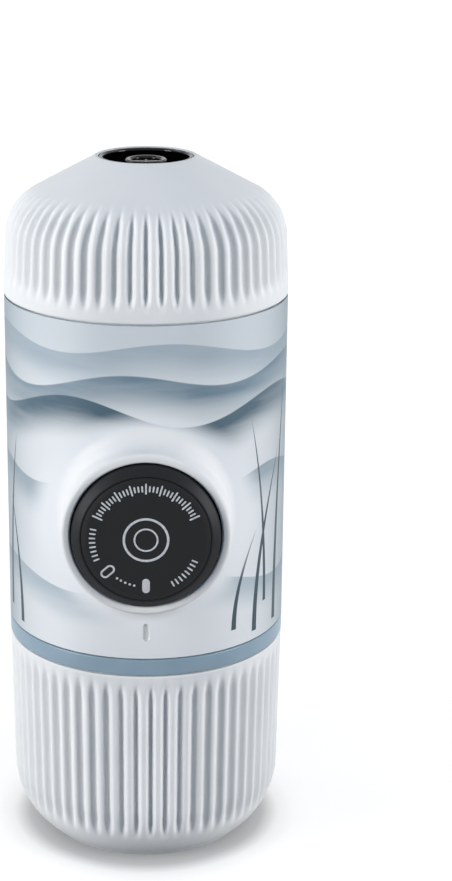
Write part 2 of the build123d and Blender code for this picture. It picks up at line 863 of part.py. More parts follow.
with BuildPart() as head_core:
    skirt_bore = neck_radius + thread_room
    skirt_radius = skirt_bore + core_wall
    skirt_low = flange_top + skirt_room
    plate_high = plate_seat + core_plate_thick
    spout_foot = plate_seat + funnel_height + funnel_throat
    spout_foot_radius = spout_tube_radius + core_wall
    turned_upright(
        (0, plate_seat),
        (outlet_screen_radius + loose, plate_seat),
        (outlet_screen_radius + loose, gasket_top),
        (skirt_bore, gasket_top),
        (skirt_bore, skirt_low),
        (skirt_radius, skirt_low),
        (skirt_radius, plate_high),
        (spout_foot_radius, plate_high),
        (spout_foot_radius, spout_foot),
        (0, spout_foot),
    )
    # Fins centre the core in the white shell.
    fin_low = skirt_low + core_lead_in
    fin_inner = skirt_bore + core_wall / 2
    fin_outer = shoulder_radius - head_wall - nested
    with BuildSketch(Plane.XY.offset(fin_low)):
        with PolarLocations((fin_inner + fin_outer) / 2, core_rib_count):
            Rectangle(fin_outer - fin_inner, core_rib_thick)
    extrude(amount=basket_flange_top - fin_low)
    # The coffee gathers in a funnel under the plate and leaves through the spout's tube.
    turned_upright(
        (0, plate_seat),
        (funnel_radius, plate_seat),
        (spout_bore, plate_seat + funnel_height),
        (spout_bore, spout_foot),
        (0, spout_foot),
        mode=Mode.SUBTRACT,
    )
    with Locations(Plane.XY.offset(plate_seat).rotated((180, 0, 0))):
        with PolarLocations(boss_ring_radius, boss_count):
            CounterBoreHole(
                screw_radius + nested,
                screw_head_radius + nested,
                screw_head_thick,
                depth=core_plate_thick,
            )
write(head_core, "head_core")

with BuildPart() as head_screws:
    with BuildSketch(Plane.XY.offset(plate_seat)):
        with PolarLocations(boss_ring_radius, boss_count):
            Circle(screw_head_radius)
    extrude(amount=screw_head_thick)
    with BuildSketch(Plane.XY.offset(plate_seat + screw_head_thick)):
        with PolarLocations(boss_ring_radius, boss_count):
            Circle(screw_radius)
    extrude(amount=head_screw_length)
write(head_screws, "head_screws")

shoulder_corner = (shoulder_radius, cone_height(shoulder_radius))
with BuildPart() as flute_cutter_of_head:
    head_lean = head_draft / (shoulder_corner[1] - shell_top)
    head_flute_foot = (head_rim_radius - head_lean * head_flute_rise, shell_top + head_flute_rise)
    head_flute_end = (head_flute_high_radius, cone_height(head_flute_high_radius))
    with BuildLine(Plane.XZ) as flute_path:
        FilletPolyline(head_flute_foot, shoulder_corner, head_flute_end, radius=shoulder_round)
    with BuildLine() as chords:
        Polyline(*[flute_path.line @ (step / flute_chords) for step in range(flute_chords + 1)])
    with BuildSketch(Plane(chords.line @ 0, x_dir=(1, 0, head_lean), z_dir=chords.line % 0)):
        Polygon(*flute_section, align=None)
    sweep(path=chords.line, transition=Transition.RIGHT)

with BuildPart() as head_cavity:
    inner_rim = head_rim_radius - head_wall
    inner_shoulder = shoulder_radius - head_wall
    cavity_top = cone_height(hole_radius, head_wall)
    with BuildSketch(Plane.XZ):
        with BuildLine():
            FilletPolyline(
                (inner_rim, shell_top),
                (inner_shoulder, cone_height(inner_shoulder, head_wall)),
                (hole_radius, cavity_top),
                radius=shoulder_round - head_wall,
            )
            Polyline((hole_radius, cavity_top), (0, cavity_top), (0, shell_top), (inner_rim, shell_top))
        make_face()
    revolve(axis=Axis.Z)
    with BuildSketch(Plane.XY.offset(plate_high)):
        with PolarLocations(boss_ring_radius, boss_count):
            Circle(boss_radius)
    extrude(amount=overall_height - plate_high, mode=Mode.SUBTRACT)

with BuildPart() as head_shell:
    with BuildSketch(Plane.XZ):
        with BuildLine():
            lip_edge = (hole_radius + hole_lip, overall_height)
            FilletPolyline(
                (head_rim_radius, shell_top), shoulder_corner, lip_edge, radius=shoulder_round
            )
            Polyline(
                lip_edge,
                (hole_radius, overall_height - hole_lip),
                (hole_radius, shell_top),
                (head_rim_radius, shell_top),
            )
        make_face()
    revolve(axis=Axis.Z)
    add(head_cavity.part, mode=Mode.SUBTRACT)
    with Locations(Plane.XY.offset(plate_high).rotated((180, 0, 0))):
        with PolarLocations(boss_ring_radius, boss_count):
            Hole(
                screw_radius + nested,
                depth=head_screw_length + screw_head_thick - core_plate_thick + loose,
            )
    with PolarLocations(0, flute_count, start_angle=-90):
        add(flute_cutter_of_head.part, mode=Mode.SUBTRACT)
write(head_shell, "head_shell")

with BuildPart() as spout:
    ring_top = overall_height - spout_drop
    trough = ring_top - spout_trough
    tube_top = overall_height - spout_tube_drop
    turned_upright(
        (spout_bore, spout_foot),
        (spout_foot_radius, spout_foot),
        (spout_foot_radius, trough - spout_ring_wall),
        (spout_ring_radius, trough - spout_ring_wall),
        (spout_ring_radius, ring_top),
        (spout_ring_radius - spout_ring_wall, ring_top),
        (spout_ring_radius - spout_ring_wall, trough),
        (spout_tube_radius, trough),
        (spout_tube_radius, tube_top),
        (spout_bore, tube_top),
    )
write(spout, "spout")
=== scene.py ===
import bpy
import bmesh
from functools import partial
from math import atan2, cos, hypot, pi, radians, sin, sqrt, tan
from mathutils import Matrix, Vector


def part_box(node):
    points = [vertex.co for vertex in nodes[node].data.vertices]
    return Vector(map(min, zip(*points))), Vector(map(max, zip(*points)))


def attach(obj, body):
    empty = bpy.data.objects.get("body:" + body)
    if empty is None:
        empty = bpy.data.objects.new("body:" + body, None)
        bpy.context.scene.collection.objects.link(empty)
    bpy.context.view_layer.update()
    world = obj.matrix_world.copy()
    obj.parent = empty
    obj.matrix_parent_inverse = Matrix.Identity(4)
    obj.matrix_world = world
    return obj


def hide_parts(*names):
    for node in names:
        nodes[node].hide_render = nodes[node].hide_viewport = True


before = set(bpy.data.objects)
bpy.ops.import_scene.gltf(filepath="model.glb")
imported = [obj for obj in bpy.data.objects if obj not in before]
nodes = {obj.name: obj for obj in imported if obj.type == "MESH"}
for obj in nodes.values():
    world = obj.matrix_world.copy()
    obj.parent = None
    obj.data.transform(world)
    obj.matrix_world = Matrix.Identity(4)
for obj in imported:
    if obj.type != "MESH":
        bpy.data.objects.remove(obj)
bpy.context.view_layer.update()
mm = 0.001
print("frame loaded:", len(nodes), "nodes")


# heights of the seams, in millimetres, read from the frame
def top(node):
    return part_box(node)[1].z / mm


def bottom(node):
    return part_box(node)[0].z / mm


def front(node):
    return -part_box(node)[0].y / mm


cupTop = top("cup")
bandTop = bottom("body_shell")
shellTop = top("body_shell")
headTop = top("head_shell")
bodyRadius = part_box("water_tank")[1].x / mm
buttonLow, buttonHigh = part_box("button")
pumpHeight = (buttonLow.z + buttonHigh.z) / 2 / mm
buttonRadius = (buttonHigh.z - buttonLow.z) / 2 / mm
labelFront = front("button_label")


# ---- nodes and materials

def linear(hexCode):
    parts = [int(hexCode[i:i + 2], 16) / 255 for i in (1, 3, 5)]
    return tuple(c / 12.92 if c <= 0.04045 else ((c + 0.055) / 1.055) ** 2.4 for c in parts) + (1.0,)


def addNode(tree, kind, settings=None, inputs=None):
    node = tree.nodes.new(kind)
    for key, value in (settings or {}).items():
        setattr(node, key, value)
    for key, value in (inputs or {}).items():
        if isinstance(value, bpy.types.NodeSocket):
            tree.links.new(value, node.inputs[key])
        else:
            node.inputs[key].default_value = value
    return node


def arithmetic(tree):
    # a shorthand for the tree's arithmetic nodes
    def calc(operation, *values, clamp=False):
        settings = {"operation": operation, "use_clamp": clamp}
        return addNode(tree, "ShaderNodeMath", settings, dict(enumerate(values))).outputs[0]
    return calc


def eased(tree, value, start, end, least=0.0):
    # least before start, 1 after end, and smooth in between
    return addNode(tree, "ShaderNodeMapRange", {"interpolation_type": "SMOOTHSTEP"}, {
        "Value": value, "From Min": start, "From Max": end, "To Min": least}).outputs[0]


def emptyTree(owner):
    owner.use_nodes = True
    owner.node_tree.nodes.clear()
    return owner.node_tree


def newMaterial(name, colour, roughness, more=None):
    material = bpy.data.materials.new(name)
    tree = emptyTree(material)
    shader = addNode(tree, "ShaderNodeBsdfPrincipled", inputs={
        "Base Color": linear(colour), "Roughness": roughness, **(more or {})})
    addNode(tree, "ShaderNodeOutputMaterial", inputs={"Surface": shader.outputs[0]})
    material.diffuse_color = linear(colour)
    return material, tree, shader


def objectSpot(tree, stretch=None):
    # the place on the object, stretched by three factors where they are given
    spot = addNode(tree, "ShaderNodeTexCoord").outputs["Object"]
    if stretch:
        spot = addNode(tree, "ShaderNodeMapping", inputs={"Vector": spot, "Scale": stretch}).outputs[0]
    return spot


def addNoise(tree, spot, size, detail):
    # noise that repeats about once per size, in millimetres
    return addNode(tree, "ShaderNodeTexNoise", inputs={
        "Vector": spot, "Scale": 1 / (size * mm), "Detail": detail}).outputs["Fac"]


def addRelief(tree, shader, spot, size, depth, detail=2.0):
    # a fine relief, its size and depth in millimetres
    bump = addNode(tree, "ShaderNodeBump", inputs={
        "Height": addNoise(tree, spot, size, detail), "Distance": depth * mm, "Strength": 1.0})
    tree.links.new(bump.outputs[0], shader.inputs["Normal"])


def addToneDrift(tree, shader, spot, size, tones):
    # a slow change between two close tones of the same plastic
    ramp = addNode(tree, "ShaderNodeValToRGB", inputs={"Fac": addNoise(tree, spot, size, 1.0)})
    for stop, where, tone in zip(ramp.color_ramp.elements, (0.35, 0.65), tones):
        stop.position, stop.color = where, linear(tone)
    tree.links.new(ramp.outputs["Color"], shader.inputs["Base Color"])


mouldings = {
    # grain is its size and depth, drift its size and two tones; all sizes in millimetres
    # ABS, injection moulded in a spark-eroded mould: soft sheen, faint grain
    "abs-moulded-satin-white": {
        "colour": "#F0F0EF", "roughness": 0.5, "gloss": 0.3, "grain": (0.5, 0.0012),
        "drift": (14, ("#EEEEEE", "#F1F1F0"))},
    # ABS in black: spark-eroded for the body, finer and duller for the button
    "abs-moulded-satin-black": {"colour": "#242528", "roughness": 0.38, "grain": (0.45, 0.004)},
    "abs-satin-black-button": {"colour": "#1D1E21", "roughness": 0.46, "gloss": 0.15, "grain": (0.45, 0.004)},
    # a mould polished to a mirror
    "abs-polished-black": {"colour": "#050506", "roughness": 0.07, "gloss": 0.25, "grain": (1.5, 0.001)},
    # a printed film, welded on
    "polycarbonate-film-black-label": {
        "colour": "#17181A", "roughness": 0.5, "gloss": 0.2, "grain": (0.35, 0.003)},
    "nylon-moulded-dark-grey": {"colour": "#2E3033", "roughness": 0.5, "grain": (0.8, 0.003)},
    # silicone: dull with a fine dusty surface
    "silicone-moulded-grey": {"colour": "#5B6066", "roughness": 0.62, "grain": (0.6, 0.006)},
    # pad-printed ink on the label: dense light grey, slightly uneven
    "ink-pad-printed-light-grey": {
        "colour": "#CDCFD1", "roughness": 0.5, "grain": (0.3, 0.002), "drift": (0.8, ("#C2C4C6", "#D6D8DA"))},
}


def moulded(name):
    s = mouldings[name]
    more = {"Specular IOR Level": s["gloss"]} if "gloss" in s else None
    material, tree, shader = newMaterial(name, s["colour"], s["roughness"], more)
    spot = objectSpot(tree)
    addRelief(tree, shader, spot, *s["grain"])
    if "drift" in s:
        addToneDrift(tree, shader, spot, *s["drift"])
    return material


bandFinish = {
    "colour": "#8AA2B0", "roughness": 0.36, "flowLength": 4, "flowDepth": 0.004, "flowStretch": 14,
    "drift": (9, ("#879FAF", "#8FA5B4")),
}


def blueGreyPolypropylene():
    # polypropylene, moulded and lightly polished: satin with very fine flow lines round the band
    s = bandFinish
    material, tree, shader = newMaterial("polypropylene-satin-blue-grey", s["colour"], s["roughness"])
    flow = objectSpot(tree, (1, 1, s["flowStretch"]))
    addRelief(tree, shader, flow, s["flowLength"], s["flowDepth"], 3.0)
    addToneDrift(tree, shader, objectSpot(tree), *s["drift"])
    return material


steelFinish = {"colour": "#C9CACB", "roughness": (0.22, 0.36), "lineLength": 3.6, "linesAcross": 12}


def stainlessSteel():
    # 304 stainless, rolled and brushed: lines along one direction, 0.3 mm apart
    s = steelFinish
    material, tree, shader = newMaterial("stainless-brushed", s["colour"], 0.28, {"Metallic": 1.0})
    lines = addNoise(tree, objectSpot(tree, (1, s["linesAcross"], 1)), s["lineLength"], 2.0)
    rough = addNode(tree, "ShaderNodeMapRange", inputs={
        "Value": lines, "To Min": s["roughness"][0], "To Max": s["roughness"][1]})
    tree.links.new(rough.outputs[0], shader.inputs["Roughness"])
    return material


whitePlastic = moulded("abs-moulded-satin-white")
bandPlastic = blueGreyPolypropylene()
blackPlastic = moulded("abs-moulded-satin-black")
buttonPlastic = moulded("abs-satin-black-button")
labelPlastic = moulded("polycarbonate-film-black-label")
glossBlack = moulded("abs-polished-black")
innerPlastic = moulded("nylon-moulded-dark-grey")
steel = stainlessSteel()
silicone = moulded("silicone-moulded-grey")
ink = moulded("ink-pad-printed-light-grey")
print("materials made")


# ---- the print on the body: generic rolling waves and a few reeds, in slate and pale grey, with a painted shade that darkens it towards both sides

printSizes = {
    "colour": "#EEF0F2", "roughness": 0.48, "gloss": 0.35, "grain": (0.5, 0.003),
    # two tones, the heights between which the upper one comes in, and its strength
    "sky": ("#EDEFF0", "#CBD4D9", 104.0, 124.0, 0.6),
    # crest height, two swells (waves per turn, height, phase), depth of the fade under the crest, strength
    "waves": [
        ("#9DAEBA", 119.5, (4, 1.6, 0.9), (1, 1.5, 2.0), 9.5, 0.85),
        ("#6F8796", 113.5, (4, 2.0, 2.3), (2, 1.0, 0.4), 10.5, 1.0),
        ("#46606F", 107.0, (4, 2.3, 3.7), (3, 0.8, 3.1), 10.5, 1.15),
        ("#8599A6", 91.0, (5, 1.8, 2.6), (2, 0.8, 1.7), 10.0, 0.85),
        ("#9FB0BB", 68.0, (4, 1.6, 0.2), (3, 0.8, 0.9), 9.0, 0.75),
    ],
    "softness": 0.35, "streakSize": 26, "streakStretch": 7, "streakGain": 0.9, "streakBase": 0.5,
    # painted shade that deepens towards both sides, where the body turns away from the front: tone, sharpness,
    # strength
    "paintedSideShade": ("#6E7F8A", 3.5, 0.85),
    "clearTone": "#EDEFF1", "clearRadius": 21.0, "clearFade": 5.0,
    # way round in degrees, foot, tip, lean in mm, width in mm
    "reeds": [(38, 56, 78, 7, 1.5), (50, 54, 95, 10, 1.7), (57, 60, 104, -6, 1.3), (66, 54, 112, 5, 1.9),
              (-62, 54, 84, -6, 1.6), (-74, 56, 98, 5, 1.8), (178, 56, 92, 7, 1.7), (-170, 54, 104, -8, 1.5)],
    "reedTone": "#33474F", "reedTaper": 0.6, "reedEdge": 0.15,
}


def printedAbs():
    # ABS with a pad-printed picture under a satin clear coat: the ink's edges are soft, the gloss is even
    s = printSizes
    material, tree, shader = newMaterial(
        "abs-printed-satin-painted-side-shade", s["colour"], s["roughness"], {"Specular IOR Level": s["gloss"]})
    spot = objectSpot(tree)
    addRelief(tree, shader, spot, *s["grain"])
    calc, ease = arithmetic(tree), partial(eased, tree)
    times, plus, minus, power = [partial(calc, name) for name in ("MULTIPLY", "ADD", "SUBTRACT", "POWER")]

    def mixed(under, colour, amount):
        node = addNode(tree, "ShaderNodeMix", {"data_type": "RGBA"}, {0: amount, 6: under, 7: colour})
        return node.outputs[2]

    x, y, z = addNode(tree, "ShaderNodeSeparateXYZ", inputs={"Vector": spot}).outputs
    around = calc("ARCTAN2", x, times(y, -1.0))
    height = times(z, 1 / mm)
    streak = addNoise(tree, objectSpot(tree, (1, 1, s["streakStretch"])), s["streakSize"], 3.0)
    low, high, start, end, strength = s["sky"]
    picture = mixed(linear(low), linear(high), times(ease(height, start, end), strength))
    for tone, crest, swell, ripple, depth, strength in s["waves"]:
        rise = 0.0
        for turns, size, phase in (swell, ripple):
            rise = calc("MULTIPLY_ADD", calc("SINE", calc("MULTIPLY_ADD", around, turns, phase)), size, rise)
        under = minus(plus(rise, crest), height)
        fade = minus(1.0, ease(under, 0.0, depth))
        amount = times(ease(under, 0.0, s["softness"]), times(fade, strength))
        amount = times(amount, calc("MULTIPLY_ADD", streak, s["streakGain"], s["streakBase"]), clamp=True)
        picture = mixed(picture, linear(tone), amount)
    # painted shade: the body darkens towards both sides as seen from the front
    side = calc("MULTIPLY_ADD", calc("COSINE", times(around, 2.0)), -0.5, 0.5)
    tone, sharpness, strength = s["paintedSideShade"]
    picture = mixed(picture, linear(tone), times(power(side, sharpness), strength))
    # the picture leaves the collar's surroundings clear
    fromPump = power(plus(power(times(x, 1 / mm), 2.0), power(minus(height, pumpHeight), 2.0)), 0.5)
    inFront = calc("LESS_THAN", y, 0.0)
    nearPump = minus(1.0, ease(fromPump, s["clearRadius"], s["clearRadius"] + s["clearFade"]))
    away = minus(1.0, times(inFront, nearPump))
    picture = mixed(linear(s["clearTone"]), picture, away)
    for degrees, foot, tip, lean, width in s["reeds"]:
        share = calc("DIVIDE", minus(height, foot), tip - foot, clamp=True)
        bend = times(power(share, 2.0), lean / bodyRadius)
        turn = minus(minus(around, radians(degrees)), bend)
        off = times(calc("ABSOLUTE", calc("WRAP", turn, pi, -pi)), bodyRadius)
        room = times(power(minus(1.0, share), s["reedTaper"]), width / 2)
        inside = times(calc("GREATER_THAN", height, foot), calc("LESS_THAN", height, tip))
        stroke = ease(minus(room, off), 0.0, s["reedEdge"])
        picture = mixed(picture, linear(s["reedTone"]), times(times(stroke, inside), away))
    tree.links.new(picture, shader.inputs["Base Color"])
    return material


printedPlastic = printedAbs()
print("print made")


# ---- mesh helpers

def newObject(name, data):
    piece = bpy.data.objects.new(name, data)
    bpy.context.scene.collection.objects.link(piece)
    return piece


def smooth(mesh, angle):
    for face in mesh.polygons:
        face.use_smooth = True
    mesh.set_sharp_from_angle(angle=radians(angle))


def meshObject(name, bm, materials, angle=35, flat=False):
    # a flat print keeps the way it was drawn, and everything else is turned to face outwards
    bmesh.ops.remove_doubles(bm, verts=bm.verts, dist=1e-7)
    if not flat:
        bmesh.ops.recalc_face_normals(bm, faces=bm.faces)
    mesh = bpy.data.meshes.new(name)
    bm.to_mesh(mesh)
    bm.free()
    smooth(mesh, angle)
    for material in materials if isinstance(materials, list) else [materials]:
        mesh.materials.append(material)
    return newObject(name, mesh)


def rounded(points, closed=False):
    # points are (radius, height) or (radius, height, corner radius); corners become short arcs
    out = []
    count = len(points)
    for i, point in enumerate(points):
        here = Vector(point[:2])
        size = point[2] if len(point) > 2 else 0
        if not size or (not closed and i in (0, count - 1)):
            out.append(here)
            continue
        before = (Vector(points[i - 1][:2]) - here).normalized()
        after = (Vector(points[(i + 1) % count][:2]) - here).normalized()
        half = before.angle(after) / 2
        reach = size / tan(half)
        middle = here + (before + after).normalized() * (size / sin(half))
        first = here + before * reach - middle
        turn = pi - 2 * half
        sign = 1 if first.x * (here - middle).y - first.y * (here - middle).x > 0 else -1
        steps = max(2, int(turn * (3 + sqrt(size) * 4)))
        for k in range(steps + 1):
            a = sign * turn * k / steps
            c, d = cos(a), sin(a)
            out.append(middle + Vector((first.x * c - first.y * d, first.x * d + first.y * c)))
    return [(p.x, p.y) for p in out]


def splitLong(points, longest):
    # the same line, with no stretch longer than this
    out = [points[0]]
    for a, b in zip(points, points[1:]):
        parts = max(1, int(hypot(b[0] - a[0], b[1] - a[1]) / longest + 0.999))
        out += [(a[0] + (b[0] - a[0]) * k / parts, a[1] + (b[1] - a[1]) * k / parts)
                for k in range(1, parts + 1)]
    return out


def turnedMesh(profile, segments=144, bm=None, onPump=False):
    # profile is a closed loop of (radius, height), or of (radius, reach) on the pump's axis, in millimetres
    bm = bm or bmesh.new()
    rings = []
    for radius, height in profile:
        if radius < 1e-6:
            rings.append([bm.verts.new(placed(0, 0, height, onPump))])
            continue
        turns = [2 * pi * k / segments for k in range(segments)]
        rings.append([bm.verts.new(placed(radius * cos(a), radius * sin(a), height, onPump)) for a in turns])
    for a, b in zip(rings, rings[1:] + rings[:1]):
        for k in range(segments):
            n = (k + 1) % segments
            # a ring on the axis is a single point, so its corners fall together
            corners = dict.fromkeys((a[k % len(a)], a[n % len(a)], b[n % len(b)], b[k % len(b)]))
            if len(corners) > 2:
                bm.faces.new(list(corners))
    return bm


def placed(x, y, along, onPump):
    if onPump:
        return Vector((x, -along, pumpHeight + y)) * mm
    return Vector((x, y, along)) * mm


def bridge(bm, a, b, closed=True):
    # a band of faces between two rows of corners
    for k in range(len(a) if closed else len(a) - 1):
        n = (k + 1) % len(a)
        bm.faces.new((a[k], a[n], b[n], b[k]))


def addBar(bm, rings):
    # a closed bar through two or more rings of corners
    for a, b in zip(rings, rings[1:]):
        bridge(bm, a, b)
    bm.faces.new(rings[0][::-1])
    bm.faces.new(rings[-1])


def capsule(length, width, steps=10):
    # an upright outline with round ends, about its middle
    half, straight = width / 2, (length - width) / 2
    ends = [(half * cos(pi * k / steps), straight + half * sin(pi * k / steps)) for k in range(steps + 1)]
    return ends + [(-x, -y) for x, y in ends]


def rides(piece, body, *replaced, slot=None):
    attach(piece, body)
    if replaced:
        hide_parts(*replaced)


# ---- node trees that shape a mesh: each has named inputs and ends as real geometry in one material

def shapeTree(name, floats, counts=(), takesShape=False):
    tree = bpy.data.node_groups.new(name, "GeometryNodeTree")
    sockets = [("Geometry", "Geometry")] if takesShape else []
    sockets += [(label, "Float") for label in floats] + [(label, "Int") for label in counts]
    tree.interface.new_socket("Geometry", in_out="OUTPUT", socket_type="NodeSocketGeometry")
    for label, kind in sockets + [("Material", "Material")]:
        tree.interface.new_socket(label, in_out="INPUT", socket_type="NodeSocket" + kind)
    return tree, addNode(tree, "NodeGroupInput").outputs, arithmetic(tree)


def finishTree(tree, given, shape):
    real = addNode(tree, "GeometryNodeRealizeInstances", inputs={"Geometry": shape})
    dressed = addNode(tree, "GeometryNodeSetMaterial", inputs={
        "Geometry": real.outputs[0], "Material": given["Material"]})
    addNode(tree, "NodeGroupOutput", inputs={"Geometry": dressed.outputs[0]})
    return tree


def settled(piece, name, angle=None):
    # the evaluated result as a plain mesh under a new object, with the maker object removed
    graph = bpy.context.evaluated_depsgraph_get()
    mesh = bpy.data.meshes.new_from_object(piece.evaluated_get(graph), depsgraph=graph)
    bpy.data.objects.remove(piece)
    mesh.name = name
    if angle is not None:
        smooth(mesh, angle)
    return newObject(name, mesh)


def grown(tree, name, values, blank=None, angle=None):
    # what a tree makes of a blank object, or of nothing
    blank = blank or newObject(name + "-blank", bpy.data.meshes.new(name + "-blank"))
    modifier = blank.modifiers.new(tree.name, "NODES")
    modifier.node_group = tree
    for item in tree.interface.items_tree:
        if item.item_type == "SOCKET" and item.in_out == "INPUT" and item.name in values:
            modifier[item.identifier] = values[item.name]
    return settled(blank, name, angle)


# ---- flutes: soft grooves pressed into a turned shell, evenly round it

def fluteTree():
    tree, given, calc = shapeTree("flutes", (
        "Count", "Depth", "Narrowness", "Turn", "Low", "Low Fade", "High", "High Fade"), takesShape=True)
    position = addNode(tree, "GeometryNodeInputPosition").outputs[0]
    x, y, z = addNode(tree, "ShaderNodeSeparateXYZ", inputs={"Vector": position}).outputs
    angle = calc("ADD", calc("ARCTAN2", y, x), given["Turn"])
    wave = calc("MULTIPLY_ADD", calc("COSINE", calc("MULTIPLY", angle, given["Count"])), 0.5, 0.5)
    fade = calc("MULTIPLY", *[
        eased(tree, z, given[edge], calc("ADD", given[edge], given[edge + " Fade"]))
        for edge in ("Low", "High")])
    # a groove gets narrower where it runs out
    endNarrowing = 0.7
    narrow = calc("MULTIPLY_ADD", calc("SUBTRACT", 1.0, fade), endNarrowing, given["Narrowness"])
    groove = calc("MULTIPLY", calc("POWER", wave, narrow), fade)
    mask = addNode(tree, "GeometryNodeInputNamedAttribute", inputs={"Name": "outside"}).outputs[0]
    push = calc("MULTIPLY", calc("MULTIPLY", groove, mask), calc("MULTIPLY", given["Depth"], -1.0))
    normal = addNode(tree, "GeometryNodeInputNormal").outputs[0]
    offset = addNode(tree, "ShaderNodeVectorMath", {"operation": "SCALE"}, {0: normal, "Scale": push})
    moved = addNode(tree, "GeometryNodeSetPosition", inputs={
        "Geometry": given["Geometry"], "Offset": offset.outputs[0]})
    return finishTree(tree, given, moved.outputs[0])


flutes = fluteTree()


def flutedShell(name, outer, inner, s):
    # outer and inner run along the wall's two faces; only the outer face takes the grooves
    segments = s["fluteCount"] * s["stepsPerFlute"]
    bm = turnedMesh(outer + inner, segments)
    layer = bm.verts.layers.float.new("outside")
    for i, vert in enumerate(bm.verts):
        vert[layer] = 1.0 if i < len(outer) * segments else 0.0
    blank = meshObject(name + "-blank", bm, whitePlastic, angle=50)
    return grown(flutes, name, {
        "Count": float(s["fluteCount"]), "Depth": s["fluteDepth"] * mm, "Narrowness": s["narrowness"],
        "Turn": radians(90 - s["turn"]), "Low": s["low"] * mm, "Low Fade": s["lowFade"] * mm,
        "High": s["high"] * mm, "High Fade": s["highFade"] * mm, "Material": whitePlastic}, blank, angle=50)


cupSizes = {
    "wall": 2.15, "floor": 2.2, "floorRound": 5.0, "floorInset": 1.15, "footRadius": 22.9, "footRound": 1.4,
    "cornerStart": (0.9, 1.1), "cornerHeight": 14.6, "cornerSteps": 16, "draft": 0.55, "rimInset": 0.02,
    "seamWidth": 0.35, "seamDepth": 1.0, "rimRound": 0.35, "fluteCount": 60, "fluteDepth": 1.2,
    "narrowness": 1.3, "turn": 2.0, "low": 6.6, "lowFade": 5.0, "high": 47.0, "highFade": -6.0,
    "stepsPerFlute": 14, "rowHeight": 1.1,
}


def makeCup():
    s = cupSizes
    rim, seam = bodyRadius, cupTop - s["seamWidth"]
    # the corner is one arc from the foot up to the drafted wall
    startAt = Vector((s["footRadius"] + s["cornerStart"][0], s["cornerStart"][1]))
    endAt = Vector((rim - s["draft"], s["cornerHeight"]))
    wallDirection = Vector((s["draft"], cupTop - s["cornerHeight"])).normalized()
    inward = Vector((-wallDirection.y, wallDirection.x))
    chord = startAt - endAt
    arcRadius = chord.length_squared / (2 * chord.dot(inward))
    centre = endAt + inward * arcRadius
    first, last = startAt - centre, endAt - centre
    span, base = first.angle(last), atan2(first.y, first.x)
    turns = [base + span * k / s["cornerSteps"] for k in range(s["cornerSteps"] + 1)]
    arc = [(centre.x + arcRadius * cos(a), centre.y + arcRadius * sin(a)) for a in turns]
    outer = rounded([(0.0, 0.0), (s["footRadius"], 0.0, s["footRound"]), arc[0]])[:-1] + arc
    outer += splitLong([arc[-1], (rim - s["rimInset"], seam - s["rimRound"])], s["rowHeight"])[1:]
    outer += rounded([outer[-1], (rim, seam, s["rimRound"]), (rim - s["seamDepth"], seam)])[1:]
    bore = rim - s["wall"]
    inner = rounded([
        (rim - s["seamDepth"], cupTop), (bore, cupTop), (bore - s["draft"], s["cornerHeight"]),
        (s["footRadius"] - s["floorInset"], s["floor"], s["floorRound"]), (0.0, s["floor"])])
    rides(flutedShell("cup_fluted", outer, inner, s), "cup", "cup", slot="white_shell")


headSizes = {
    "rimRadius": 31.15, "rimLedge": 1.2, "rimRound": 0.4, "wall": 2.25, "shoulderRadius": 30.25,
    "shoulderRound": 10.6, "coneSlope": 28.5, "holeRadius": 10.3, "mouthRoom": 0.03, "innerMouthRoom": 0.05,
    "lip": 0.45, "lipRound": 0.15, "lipDrop": 0.05, "lipFoot": 0.1, "lipFootRound": 0.2, "fluteCount": 60,
    "fluteDepth": 1.2, "narrowness": 1.3, "turn": 0.0, "low": 128.4, "lowFade": 4.2, "high": 149.8,
    "highFade": -5.0, "stepsPerFlute": 14, "rowHeight": 0.9,
}


def makeHeadShell():
    s = headSizes
    slope = radians(s["coneSlope"])
    mouth, lipTop = s["holeRadius"] + s["mouthRoom"], headTop - s["lipDrop"]

    def cone(radius, inset=0.0):
        return headTop - (radius - s["holeRadius"] - s["lip"]) * tan(slope) - inset / cos(slope)

    outer = splitLong(rounded([
        (s["rimRadius"] - s["rimLedge"], shellTop), (s["rimRadius"], shellTop, s["rimRound"]),
        (s["shoulderRadius"], cone(s["shoulderRadius"]), s["shoulderRound"]),
        (s["holeRadius"] + s["lip"] + s["lipFoot"], lipTop, s["lipFootRound"]),
        (mouth, lipTop, s["lipRound"]),
        (mouth, cone(s["holeRadius"], s["wall"]))]), s["rowHeight"])
    shoulder = s["shoulderRadius"] - s["wall"]
    inner = rounded([
        (s["holeRadius"] + s["innerMouthRoom"], cone(s["holeRadius"], s["wall"])),
        (shoulder, cone(shoulder, s["wall"]), s["shoulderRound"] - s["wall"]),
        (s["rimRadius"] - s["wall"], shellTop)])
    rides(flutedShell("head_shell_fluted", outer, inner, s), "outlet_head", "head_shell", slot="white_shell")


makeCup()
makeHeadShell()
print("cup and head shell made")


# ---- body shell: a plain cylinder with the button's collar blended into its front

def trueNormals(piece, radius, collar):
    # exact normals on the two cylinders, so that no facet shows in a reflection
    nearby, facing = 0.004, 0.985  # millimetres off a cylinder, and how far a face may turn from it
    mesh = piece.data
    normals = [Vector(corner.vector) for corner in mesh.corner_normals]
    for face in mesh.polygons:
        for k in face.loop_indices:
            p = mesh.vertices[mesh.loops[k].vertex_index].co / mm
            for off, exact in (
                    (hypot(p.x, p.y) - radius, Vector((p.x, p.y, 0))),
                    (hypot(p.x, p.z - pumpHeight) - collar, Vector((p.x, 0, p.z - pumpHeight)))):
                exact.normalize()
                if abs(off) < nearby and face.normal.dot(exact) > facing:
                    normals[k] = exact
    mesh.normals_split_custom_set(normals)


